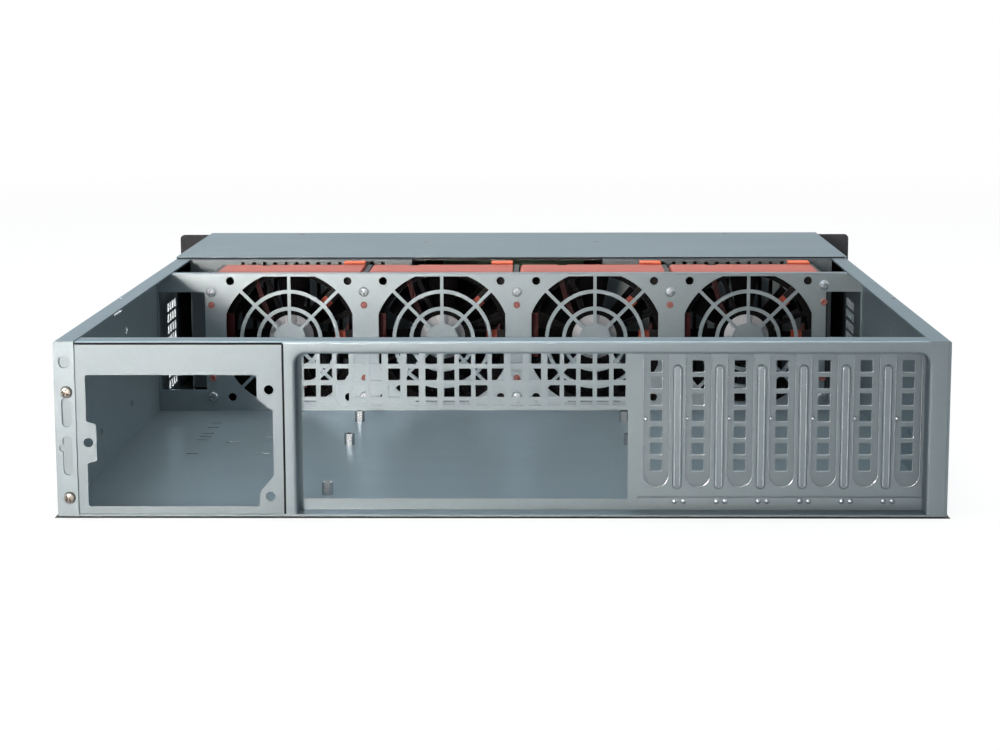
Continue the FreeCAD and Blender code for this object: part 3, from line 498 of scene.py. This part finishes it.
# Painted shade: darker copies of the zinc on the drive cages, slot covers and power supply bracket, and the black
# powder coat on the fan guides.
PAINTED_SHADE_FINISHES = {"drive_cage": "dull_shaded_zinc", "fan_guide_": "black_paint", "slot_cover": "shaded_zinc",
                "psu_bracket": "shaded_zinc"}


def finish_of(node):
    """The finish of a CAD node: its painted shade finish, given to its name or to the name's first ten letters, or
    else its slot's.
    """
    return PAINTED_SHADE_FINISHES.get(node, PAINTED_SHADE_FINISHES.get(node[:10], SLOT_OF[node]))


# ---- meshes ---------------------------------------------------------------------------------
def middle(box, axis):
    """The middle of a box (low, high) along one axis."""
    return (box[0][axis] + box[1][axis]) / 2


def add_object(name, data):
    piece = bpy.data.objects.new(name, data)
    bpy.context.scene.collection.objects.link(piece)
    return piece


def place_mesh(name, mesh, body, material):
    """A finished piece at the origin, riding on its body."""
    mesh.materials.clear()
    mesh.materials.append(material)
    piece = add_object(name, mesh)
    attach(piece, body)
    return piece


def evaluated_mesh(piece):
    """The plain mesh that an object's modifiers make; the object is then deleted."""
    graph = bpy.context.evaluated_depsgraph_get()
    mesh = bpy.data.meshes.new_from_object(piece.evaluated_get(graph))
    bpy.data.objects.remove(piece)
    return mesh


MERGE_DISTANCE = 0.002 * MM
FLAT_ANGLE = math.radians(0.4)
EASED_ANGLE = math.radians(38)


def merged_copy(node):
    """A CAD node's mesh with its corners merged and its flat faces joined."""
    source = NODES[node].data
    mesh = bpy.data.meshes.new(node)
    mesh.from_pydata([v.co.copy() for v in source.vertices], [], [tuple(p.vertices) for p in source.polygons])
    work = bmesh.new()
    work.from_mesh(mesh)
    bmesh.ops.remove_doubles(work, verts=work.verts, dist=MERGE_DISTANCE)
    bmesh.ops.dissolve_limit(work, angle_limit=FLAT_ANGLE, verts=work.verts, edges=work.edges)
    work.to_mesh(mesh)
    work.free()
    return mesh


def ease_edges(node, width):
    """A copy of a CAD node whose edges are eased, standing for that node."""
    mesh = merged_copy(node)
    mesh.shade_smooth()
    work = add_object(node + "_work", mesh)
    easing = work.modifiers.new("Edge easing", "BEVEL")
    easing.width = width
    easing.segments = 2
    easing.limit_method = "ANGLE"
    easing.angle_limit = EASED_ANGLE
    easing.harden_normals = True
    mesh = evaluated_mesh(work)
    piece = place_mesh(node + "_eased", mesh, BODY_OF[node], MATERIALS[finish_of(node)])
    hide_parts(node)


def smooth_mesh(name, work, sharp_angle):
    """Turns a bmesh into a mesh, smooth but for corners above an angle in degrees."""
    mesh = bpy.data.meshes.new(name)
    work.to_mesh(mesh)
    work.free()
    mesh.shade_smooth()
    mesh.set_sharp_from_angle(angle=math.radians(sharp_angle))
    return mesh


def ring(radius, level, spokes):
    """Points round the Z axis; the level is a height or a function of X and Y."""
    turns = [2 * math.pi * spoke / spokes for spoke in range(spokes)]
    points = [(radius * math.cos(turn), radius * math.sin(turn)) for turn in turns]
    return [(x, y, level(x, y) if callable(level) else level) for x, y in points]


def turned_mesh(name, rings, crown, sharp_angle):
    """A closed round shape on +Z from rings of points, the inmost first, and the level of its middle."""
    work = bmesh.new()
    rings = [[work.verts.new(point) for point in points] for points in rings]
    centre = work.verts.new((0, 0, crown))
    spokes = len(rings[0])
    for spoke in range(spokes):
        after = (spoke + 1) % spokes
        work.faces.new((centre, rings[0][spoke], rings[0][after]))
        for inner, outer in zip(rings, rings[1:]):
            work.faces.new((inner[spoke], outer[spoke], outer[after], inner[after]))
    work.faces.new(list(reversed(rings[-1])))
    return smooth_mesh(name, work, sharp_angle)


def head_mesh(name, radius, height, recess_depth, recess_width):
    """A low pan head on +Z with a cross recess; its seat is at Z 0."""
    arm, reach = recess_width * radius, 0.62 * radius
    rings, spokes = 26, 64

    def level(x, y):
        share = math.hypot(x, y) / radius
        edge = max(0.0, (share - 0.55) / 0.45)
        crown = height * (1 - 0.16 * share ** 2 - 0.84 * edge ** 4)
        across, along = min(abs(x), abs(y)), max(abs(x), abs(y))
        inside = min(max((arm - across) / (0.35 * arm) + 0.5, 0), 1) * min(max((reach - along) / (0.2 * arm), 0), 1)
        return crown - inside * recess_depth * height

    return turned_mesh(name, [ring(radius * step / rings, level, spokes) for step in range(1, rings + 1)],
                       height * (1 - recess_depth), 50)


def rivet_mesh(name, radius, height):
    """Push rivet: a domed collar with the head of its pin sunk in the middle."""
    profile = ((0.34, 0.55), (0.42, 0.50), (0.46, 0.30), (0.52, 0.30), (0.58, 0.80), (0.70, 1.0),
               (0.84, 0.86), (0.96, 0.5), (1.0, 0.0))
    return turned_mesh(name, [ring(share * radius, level * height, 32) for share, level in profile],
                       0.55 * height, 40)


def dimple_mesh(name, radius, height):
    """Low pressed dome on +Z, closed below."""
    return turned_mesh(name, [ring(share * radius, height * math.cos(0.5 * math.pi * share ** 2), 12)
                              for share in (0.25, 0.55, 0.85, 1.0)], height, 60)


def lance_mesh(name, length, width, height, gauge):
    """Bridge lance along X on +Z: a strip of sheet cut free on both sides and pushed up in the middle."""
    work = bmesh.new()
    steps = 8
    rings = []
    for step in range(steps + 1):
        share = step / steps
        lift = height * math.sin(math.pi * share) ** 0.6 if 0 < step < steps else 0.0
        along = (share - 0.5) * length
        rings.append([work.verts.new((along, side * width / 2, lift + level))
                      for side, level in ((-1, -0.3 * gauge), (1, -0.3 * gauge), (1, gauge), (-1, gauge))])
    for near, far in zip(rings, rings[1:]):
        for k in range(4):
            after = (k + 1) % 4
            work.faces.new((near[k], near[after], far[after], far[k]))
    work.faces.new(list(reversed(rings[0])))
    work.faces.new(rings[-1])
    bmesh.ops.recalc_face_normals(work, faces=work.faces)
    return smooth_mesh(name, work, 35)


def islands(node):
    """Boxes (low, high) of the separate solids of a CAD node, from its merged mesh."""
    work = bmesh.new()
    work.from_mesh(NODES[node].data)
    bmesh.ops.remove_doubles(work, verts=work.verts, dist=MERGE_DISTANCE)
    seen, boxes = set(), []
    for start in work.verts:
        if start in seen:
            continue
        stack, group = [start], []
        seen.add(start)
        while stack:
            vert = stack.pop()
            group.append(vert.co)
            for edge in vert.link_edges:
                other = edge.other_vert(vert)
                if other not in seen:
                    seen.add(other)
                    stack.append(other)
        boxes.append([[pick(corner[axis] for corner in group) for axis in range(3)] for pick in (min, max)])
    work.free()
    return boxes


# ---- geometry node trees --------------------------------------------------------------------
def geometry_tree(name, inputs):
    """A new modifier tree with a mesh input and further inputs; returns its helper and its input sockets."""
    tree = bpy.data.node_groups.new(name, "GeometryNodeTree")
    tree.is_modifier = True
    for label, kind in (("Geometry", "Geometry"), *inputs, ("Material", "Material")):
        tree.interface.new_socket(label, in_out="INPUT", socket_type="NodeSocket" + kind)
    tree.interface.new_socket("Geometry", in_out="OUTPUT", socket_type="NodeSocketGeometry")
    return Nodes(tree), tree.nodes.new("NodeGroupInput").outputs


def close_tree(g, geometry, material):
    """Makes instances real, paints the mesh and leads it to the tree's output."""
    real = g.add("GeometryNodeRealizeInstances", {0: geometry})
    paint = g.add("GeometryNodeSetMaterial", {"Geometry": real.outputs[0], "Material": material})
    g.add("NodeGroupOutput", {0: paint.outputs[0]})
    return g.tree


def scatter_tree():
    """Puts a shape on every point, turned to face one way and spun by a seeded amount."""
    g, given = geometry_tree("Fastener Scatter", (("Shape", "Object"), ("Facing", "Rotation"),
                                                  ("Largest Spin", "Float"), ("Seed", "Int")))
    points = g.add("GeometryNodeMeshToPoints", {"Mesh": given["Geometry"]})
    shape = g.add("GeometryNodeObjectInfo", {"Object": given["Shape"]})
    spin = g.add("FunctionNodeRandomValue", {"Seed": given["Seed"]}, data_type="FLOAT")
    least, largest = [socket for socket in spin.inputs if socket.name in ("Min", "Max") and socket.type == "VALUE"]
    g.feed(least, 0.0)
    g.feed(largest, given["Largest Spin"])
    amount = next(socket for socket in spin.outputs if socket.type == "VALUE")
    euler = g.add("ShaderNodeCombineXYZ", {"Z": amount}).outputs[0]
    spun = g.add("FunctionNodeEulerToRotation", {0: euler}).outputs[0]
    facing = g.add("FunctionNodeRotateRotation", {"Rotation": given["Facing"], "Rotate By": spun},
                   rotation_space="LOCAL")
    instances = g.add("GeometryNodeInstanceOnPoints", {
        "Points": points.outputs[0], "Instance": shape.outputs["Geometry"], "Rotation": facing.outputs[0]})
    return close_tree(g, instances.outputs[0], given["Material"])


def sweep_tree():
    """Runs a round cord of one radius along each path of edges, smoothed through its points."""
    g, given = geometry_tree("Cord Sweep", (("Radius", "Float"), ("Steps", "Int")))
    path = g.add("GeometryNodeMeshToCurve", {"Mesh": given["Geometry"]})
    smooth = g.add("GeometryNodeCurveSplineType", {"Curve": path.outputs[0]}, spline_type="CATMULL_ROM")
    even = g.add("GeometryNodeResampleCurve", {"Curve": smooth.outputs[0], "Count": given["Steps"]})
    outline = g.add("GeometryNodeCurvePrimitiveCircle", {"Resolution": 10, "Radius": given["Radius"]})
    cord = g.add("GeometryNodeCurveToMesh", {
        "Curve": even.outputs[0], "Profile Curve": outline.outputs[0], "Fill Caps": True})
    return close_tree(g, cord.outputs[0], given["Material"])


def run_tree(tree, name, points, edges, values):
    """The mesh that a geometry tree makes of points and edges, with the tree's inputs set by their names."""
    mesh = bpy.data.meshes.new(name)
    mesh.from_pydata(points, edges, [])
    carrier = add_object(name, mesh)
    modifier = carrier.modifiers.new(tree.name, "NODES")
    modifier.node_group = tree
    for item in tree.interface.items_tree:
        if item.in_out == "INPUT" and item.name in values:
            modifier[item.identifier] = values[item.name]
    return evaluated_mesh(carrier)


def sweep_cords(name, paths, radius, body, material, steps=24):
    """One mesh of round cords along paths (lists of points in metres), made by the sweep tree."""
    tree = bpy.data.node_groups.get("Cord Sweep") or sweep_tree()
    points, edges = [], []
    for path in paths:
        edges += [(len(points) + k, len(points) + k + 1) for k in range(len(path) - 1)]
        points += path
    mesh = run_tree(tree, name + "_paths", points, edges, {"Radius": radius, "Steps": steps, "Material": material})
    mesh.shade_smooth()
    return place_mesh(name, mesh, body, material)


FACING = {"+Y": (-math.pi / 2, 0, 0), "+Z": (0, 0, 0), "+X": (0, math.pi / 2, 0), "-X": (0, -math.pi / 2, 0)}


def scatter(name, shape_mesh, places, facing, material, spin=0.0, seed=0):
    """One mesh of a shape repeated at places (metres) on the case, made by the scatter tree."""
    tree = bpy.data.node_groups.get("Fastener Scatter") or scatter_tree()
    shape = add_object(name + "_shape", shape_mesh)
    mesh = run_tree(tree, name + "_points", places, [], {
        "Shape": shape, "Facing": FACING[facing], "Largest Spin": spin, "Seed": seed, "Material": material})
    bpy.data.objects.remove(shape)
    return place_mesh(name, mesh, ROOT, material)


def replace_heads(node, name, height, make_mesh, material, spin=0.0, seed=0):
    """Puts a finer head, made by a function of name, radius and height, in each fastener's place."""
    boxes = islands(node)
    radius = max((high[0] - low[0]) / 2 for low, high in boxes)
    places = [(middle(box, 0), box[1][1] - height, middle(box, 2)) for box in boxes]
    piece = scatter(name, make_mesh(node, radius, height), places, "+Y", material, spin, seed)
    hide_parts(node)


# ---- operators ------------------------------------------------------------------------------
# The rear panel's slots: depths from the rail's outer face, and heights and reaches of windows, ribs and holes.
SLOT_COVERS = [f"slot_cover_{index}" for index in range(1, 8)]
PANEL_RECESS = 11.5 * MM
COVER_RECESS = 12.5 * MM
RIB_RECESS = 10.5 * MM
BEAD_RECESS = 10.1 * MM
DIMPLE_RECESS = 11.8 * MM
WINDOW_HALF = 6.3 * MM
WINDOW_FOOT = 18.6 * MM
WINDOW_LEVELS = (76, 60, 45, 30, 21)
RIB_LEVELS = (13, 40, 71)
RIB_HALF = 1.35 * MM
HOLE_HALF = 2.95 * MM
HOLE_TOP = 71.8 * MM
HOLE_PITCH = 8.15 * MM
HOLE_ROWS = 7
DIMPLE_SHIFT = 5.3 * MM
DIMPLE_LEVEL = 46.2 * MM
FOOT_SHIFTS = (1.1 * MM, -3.2 * MM)
FOOT_LEVEL = 5.5 * MM
# Middles of the lances: along and up the side walls, and across the top rail, in millimetres.
WALL_LANCES = ((80.4, 21.9), (170.5, 22.1), (-16.5, 11.9))
RAIL_LANCES = (150.0, 20.0, -95.5, -178.0)
# Path of a fan's wires across and up from the middle of the fan, and the wires' spacing, in millimetres.
WIRE_PATH = ((20.8, 37.2), (20.1, 33.5), (18.6, 28.0), (16.9, 22.4), (14.6, 16.5), (12.0, 11.5))
WIRE_STRANDS = (-1.1, 0.0, 1.1)


def slot_middles():
    """X of the middle of each slot cover."""
    return [middle(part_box(node), 0) for node in SLOT_COVERS]


def rib_middles():
    """X of the middle of each rib between two slots."""
    middles = slot_middles()
    return [(left + right) / 2 for left, right in zip(middles, middles[1:])]


class CaseOperator(bpy.types.Operator):
    """Base of the operators that dress the case."""

    bl_options = {"REGISTER", "UNDO"}


class CASE_OT_finishes(CaseOperator):
    """Makes every finish and gives it to the CAD pieces that stay in view"""

    bl_idname = "case.finishes"
    bl_label = "Make Finishes"

    def execute(self, context):
        make_materials(context.scene)
        for node in NODES:
            materials = NODES[node].data.materials
            materials.clear()
            materials.append(MATERIALS[finish_of(node)])
        return {"FINISHED"}


class CASE_OT_sheet(CaseOperator):
    """Eases the edges of all folded and cut sheet"""

    bl_idname = "case.sheet"
    bl_label = "Ease Sheet Edges"

    def execute(self, context):
        width = context.scene.case_steel.edge_easing
        for node, slot in SLOT_OF.items():
            if slot in ("galvanised", "black_paint"):
                share = 0.6 if node.startswith(("slot_cover", "chassis")) else 1.6 if node == "rear_panel" else 1.0
                ease_edges(node, share * width)
        return {"FINISHED"}


class CASE_OT_mouldings(CaseOperator):
    """Rounds the edges of the fan carriers and the bezel pieces"""

    bl_idname = "case.mouldings"
    bl_label = "Round Mouldings"

    def execute(self, context):
        width = context.scene.case_plastic.moulded_easing
        for index in range(1, FANS + 1):
            ease_edges(f"fan_cage_{index}", width)
        for node in ("bay_cover", "control_panel", "power_button"):
            ease_edges(node, 0.6 * width)
        return {"FINISHED"}


class CASE_OT_screws(CaseOperator):
    """Screws with cross recesses for the fan wall and the power supply bracket"""

    bl_idname = "case.screws"
    bl_label = "Add Screws"

    def execute(self, context):
        fastener = context.scene.case_fastener

        def recessed(name, radius, height):
            return head_mesh(name, radius, height, fastener.recess_depth, fastener.recess_width)

        for node, height, finish in (("fan_wall_screws", 1.9 * MM, "wall_screw"),
                                     ("psu_bracket_screws", 2.0 * MM, "screw_steel")):
            replace_heads(node, node + "_driven", height, recessed, MATERIALS[finish],
                          math.pi / 2, fastener.seed)
        return {"FINISHED"}


class CASE_OT_rivets(CaseOperator):
    """Coral push rivets of the fan wall"""

    bl_idname = "case.rivets"
    bl_label = "Add Push Rivets"

    def execute(self, context):
        replace_heads("fan_wall_rivets", "fan_wall_rivets_pushed", 1.2 * MM, rivet_mesh,
                      MATERIALS["rivet_plastic"])
        return {"FINISHED"}


class CASE_OT_pressings(CaseOperator):
    """Locating dimples and bridge lances pressed in the rear panel, the rail and the side walls"""

    bl_idname = "case.pressings"
    bl_label = "Add Pressings"

    def execute(self, context):
        detail = context.scene.case_detail
        size = detail.dimple_radius
        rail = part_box("rear_panel")[1]
        dimples = [(x + DIMPLE_SHIFT, rail[1] - DIMPLE_RECESS, DIMPLE_LEVEL) for x in slot_middles()]
        feet = [(rib + shift, rail[1] - BEAD_RECESS, FOOT_LEVEL) for rib in rib_middles() for shift in FOOT_SHIFTS]
        # The dimples and bead feet take the pale highlight zinc: painted highlights on their domes.
        for name, shape, places in (("cover_dimples", dimple_mesh("dimple", size, 0.7 * size), dimples),
                                    ("bead_feet", dimple_mesh("bead_foot", 1.25 * size, 0.8 * size), feet)):
            scatter(name, shape, places, "+Y", MATERIALS["rim"])
        tab = lance_mesh("lance", detail.lance_length, 1.2 * MM, 0.8 * MM, 0.4 * MM)
        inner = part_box("chassis_tray")[1][0] - 1.0 * MM
        for name, x, facing in (("wall_lances_left", inner, "-X"), ("wall_lances_right", -inner, "+X")):
            places = [(x, along * MM, up * MM) for along, up in WALL_LANCES]
            scatter(name, tab, places, facing, MATERIALS["galvanised"])
        places = [(x * MM, rail[1] - 1.7 * MM, rail[2]) for x in RAIL_LANCES]
        tab = lance_mesh("rail_lance", 2.4 * detail.lance_length, 0.8 * MM, 0.35 * MM, 0.1 * MM)
        scatter("rail_lances", tab, places, "+Z", MATERIALS["galvanised"])
        return {"FINISHED"}


class CASE_OT_highlight_rims(CaseOperator):
    """Cords along the edges of the slot windows, the vent holes and the ribs between the slots, in a pale zinc that
    paints the highlights these edges catch
    """

    bl_idname = "case.rims"
    bl_label = "Add Highlight Rims"

    def execute(self, context):
        radius = context.scene.case_detail.rim_radius
        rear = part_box("rear_panel")[1][1]
        windows, holes = [], []
        for x in slot_middles():
            # Painted highlight: a pale cord round the edge of each slot window.
            path = [(x + WINDOW_HALF, level * MM) for level in WINDOW_LEVELS]
            path += [(x + WINDOW_HALF * math.cos(turn), WINDOW_FOOT - WINDOW_HALF * math.sin(turn))
                     for turn in [math.pi * k / 10 for k in range(11)]]
            path += [(x - WINDOW_HALF, level * MM) for level in reversed(WINDOW_LEVELS)]
            windows.append([(along, rear - PANEL_RECESS, up) for along, up in path])
            for row in range(HOLE_ROWS):
                z = HOLE_TOP - HOLE_PITCH * row
                # Painted highlight: a pale cord only down one side and along the bottom of each hole, where its
                # edge catches the light.
                holes.append([(x + across * HOLE_HALF, rear - COVER_RECESS, z + up * HOLE_HALF)
                              for across, up in ((-1, 1), (-1, 0), (-1, -0.9), (-0.9, -1), (0, -1), (1, -1))])
        # Painted highlight: two pale cords up the flanks of each rib.
        ribs = [[(rib + side, rear - RIB_RECESS, level * MM) for level in RIB_LEVELS]
                for rib in rib_middles() for side in (-RIB_HALF, RIB_HALF)]
        for name, paths, share, steps in (("window_rims", windows, 1.0, 72), ("hole_rims", holes, 0.75, 14),
                                          ("rib_crests", ribs, 1.6, 4)):
            sweep_cords(name, paths, share * radius, ROOT, MATERIALS["rim"], steps)
        return {"FINISHED"}


class CASE_OT_seam_shadows(CaseOperator):
    """Black cords in the seams of the front cover and the power supply bracket, painting the shadow of those seams
    """

    bl_idname = "case.seals"
    bl_label = "Add Seam Shadows"

    def execute(self, context):
        radius = context.scene.case_detail.seal_radius
        low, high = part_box("front_cover")
        edge, level = high[1] + 0.3 * MM, high[2] - 0.9 * MM
        cover_line = [(x, edge, level) for x in (low[0] + MM, 0.5 * (low[0] + high[0]), high[0] - MM)]
        low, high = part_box("psu_bracket")
        face, side, top = high[1] - 0.25 * MM, low[0] - 0.2 * MM, high[2] + 0.3 * MM
        strip_edge = high[0] - 8.6 * MM
        bracket_lines = [[(strip_edge, face, top), (0.5 * (side + strip_edge), face, top), (side, face, top)],
                         [(side, face, top), (side, face, 0.5 * top), (side, face, low[2])]]
        # Painted shadow: black cords along the cover's rear edge and the bracket's top and side, where the seams
        # fall dark.
        for name, paths, share in (("cover_seal", [cover_line], 1.3), ("bracket_seal", bracket_lines, 1.0)):
            sweep_cords(name, paths, share * radius, ROOT, MATERIALS["seal"])
        return {"FINISHED"}


class CASE_OT_wires(CaseOperator):
    """Wires of each fan along a strut of its frame"""

    bl_idname = "case.wires"
    bl_label = "Add Fan Wires"

    def execute(self, context):
        radius = context.scene.case_detail.wire_radius
        for index in range(1, FANS + 1):
            node = f"fan_frame_{index}"
            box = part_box(node)
            paths = [[(middle(box, 0) + (across + strand) * MM, box[1][1] + 0.25 * MM, middle(box, 2) + up * MM)
                      for across, up in WIRE_PATH] for strand in WIRE_STRANDS]
            sweep_cords(f"fan_wires_{index}", paths, radius, BODY_OF[node], MATERIALS["lead_wire"])
        return {"FINISHED"}


def ray_kinds(s):
    """Masks for rays that see the plain white surroundings (camera and glass) and for reflections."""
    path = s.add("ShaderNodeLightPath").outputs
    return s.math("MAXIMUM", path["Is Camera Ray"], path["Is Transmission Ray"]), path["Is Glossy Ray"]


def outside_painted_shadow(s):
    """Zero on the floor under the case and 1.5 mm round it, where nothing glows and the floor is painted near black
    as a shadow; one beyond.
    """
    place = s.axes(s.place())
    low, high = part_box("chassis_tray")
    outside = 0.0
    for axis, index in (("X", 0), ("Y", 1)):
        beyond = s.math("GREATER_THAN", place[axis], high[index] + 1.5 * MM)
        before = s.math("LESS_THAN", place[axis], low[index] - 1.5 * MM)
        outside = s.math("MAXIMUM", outside, s.math("MAXIMUM", beyond, before))
    return outside


FLOOR_HALF = 6.0
FLOOR_GAP = 0.5 * MM
# Distances from the case over which the floor's glow rises to plain white.
FLOOR_FADE = (0.7, 2.2)
# Where reflections of the floor and of the room start and stop changing along X.
FLOOR_GRADE = (-0.55, 0.15)
ROOM_GRADE = (-0.8, 0.8)


class CASE_OT_stage(CaseOperator):
    """Studio floor, lamps, surrounding light and camera"""

    bl_idname = "case.stage"
    bl_label = "Set Stage"

    def execute(self, context):
        scene = context.scene
        studio = scene.case_studio
        self.floor(studio)
        self.room(scene, studio)
        self.lamp("Key", (0.95, 3.4, 0.50), 0.7, studio.key_power, studio.key_tint, (0.15, 0.1, 0.05),
                  studio.key_spread)
        self.lamp("Glint", (1.0, 1.5, 0.9), 0.2, studio.glint_power, studio.key_tint)
        self.lamp("Side", (-1.5, 0.1, 0.8), 0.8, studio.side_power, studio.top_tint, (0.2, 0.1, 0.05))
        self.lamp("Return", (1.5, 0.1, 0.8), 0.8, studio.return_power, studio.top_tint, (-0.2, 0.1, 0.05))
        self.lamp("Top", (0.3, -0.1, 1.7), 1.6, studio.top_power, studio.top_tint)
        self.camera(scene, studio)
        scene.view_settings.view_transform = "Standard"
        return {"FINISHED"}

    def floor(self, studio):
        mesh = bpy.data.meshes.new("Floor")
        corners = [(x * FLOOR_HALF, y * FLOOR_HALF, 0) for x, y in ((-1, -1), (1, -1), (1, 1), (-1, 1))]
        mesh.from_pydata(corners, [], [(0, 1, 2, 3)])
        floor = add_object("Floor", mesh)
        floor.location.z = -FLOOR_GAP
        material, s, principled = new_material("Studio Floor")
        beside = outside_painted_shadow(s)
        # Painted shadow: under the case and 1.5 mm round it the floor is near black, which also darkens what shows
        # through the slots in the case's floor.
        s.feed(principled.inputs["Base Color"], s.blend(beside, (0.02, 0.02, 0.02, 1.0), rgba(studio.floor_colour)))
        principled.inputs["Roughness"].default_value = 0.9
        away = s.add("ShaderNodeVectorMath", {0: s.place()}, operation="LENGTH").outputs["Value"]
        share = s.math("MULTIPLY", s.ramp(away, *FLOOR_FADE, studio.floor_glow, 1.0), beside)
        plain, glossy = ray_kinds(s)
        graded = s.ramp(s.axes(s.place())["X"], *FLOOR_GRADE, studio.floor_fall, 1.0)
        strength = s.math("ADD", plain, s.math("MULTIPLY", glossy, graded))
        glow = s.add("ShaderNodeEmission", {"Color": (1.0, 1.0, 1.0, 1.0), "Strength": strength})
        mix = s.add("ShaderNodeMixShader", {0: s.math("MULTIPLY", s.math("ADD", plain, glossy), share),
                                            1: principled.outputs[0], 2: glow.outputs[0]})
        s.feed(material.node_tree.nodes["Material Output"].inputs["Surface"], mix.outputs[0])
        material.cycles.emission_sampling = "NONE"
        mesh.materials.append(material)

    def room(self, scene, studio):
        world = bpy.data.worlds.new("Room")
        world.use_nodes = True
        world.cycles.sampling_method = "NONE"
        scene.world = world
        s = Nodes(world.node_tree)
        plain, glossy = ray_kinds(s)
        graded = s.ramp(s.axes(s.place("Generated"))["X"], *ROOM_GRADE, studio.room_dark, studio.room_bright)
        lit = s.ramp(plain, 0.0, 1.0, studio.room_level, 1.0)
        strength = s.math("ADD", s.math("MULTIPLY", lit, s.math("SUBTRACT", 1.0, glossy)),
                          s.math("MULTIPLY", graded, glossy))
        s.fill(world.node_tree.nodes["Background"], {"Color": (1.0, 1.0, 1.0, 1.0), "Strength": strength})

    def lamp(self, name, place, size, power, tint, aim=(0.0, 0.0, 0.0), spread=math.pi):
        data = bpy.data.lights.new(name, "AREA")
        data.size = size
        data.energy = power
        data.color = tint
        data.spread = spread
        lamp = add_object(name, data)
        lamp.location = place
        lamp.rotation_euler = (Vector(aim) - Vector(place)).to_track_quat("-Z", "Y").to_euler()

    def camera(self, scene, studio):
        data = bpy.data.cameras.new("Camera")
        data.lens = studio.camera_lens
        data.sensor_width = 36.0
        camera = add_object("Camera", data)
        turn = Matrix.Rotation(math.pi + studio.camera_pan, 4, "Z")
        tilt = Matrix.Rotation(math.pi / 2 - studio.camera_tilt, 4, "X")
        lean = Matrix.Rotation(studio.camera_roll, 4, "Z")
        camera.matrix_world = Matrix.Translation(studio.camera_place) @ turn @ tilt @ lean
        scene.camera = camera


# ---- panel and registration -----------------------------------------------------------------
OPERATORS = (CASE_OT_finishes, CASE_OT_sheet, CASE_OT_mouldings, CASE_OT_screws, CASE_OT_rivets,
             CASE_OT_pressings, CASE_OT_highlight_rims, CASE_OT_seam_shadows, CASE_OT_wires, CASE_OT_stage)


class CASE_PT_panel(bpy.types.Panel):
    """Lists the steps that dress the case"""

    bl_label = "Server Case"
    bl_idname = "CASE_PT_panel"
    bl_space_type = "VIEW_3D"
    bl_region_type = "UI"
    bl_category = "Server Case"

    def draw(self, context):
        for operator in OPERATORS:
            self.layout.operator(operator.bl_idname)


def register():
    for settings in SETTINGS.values():
        bpy.utils.register_class(settings)
    for name, settings in SETTINGS.items():
        setattr(bpy.types.Scene, name, bpy.props.PointerProperty(type=settings))
    for operator in OPERATORS:
        bpy.utils.register_class(operator)
    bpy.utils.register_class(CASE_PT_panel)


def unregister():
    bpy.utils.unregister_class(CASE_PT_panel)
    for operator in reversed(OPERATORS):
        bpy.utils.unregister_class(operator)
    for name, settings in SETTINGS.items():
        delattr(bpy.types.Scene, name)
        bpy.utils.unregister_class(settings)


def main():
    register()
    for operator in OPERATORS:
        group, action = operator.bl_idname.split(".")
        getattr(getattr(bpy.ops, group), action)()


if __name__ == "__main__":
    main()
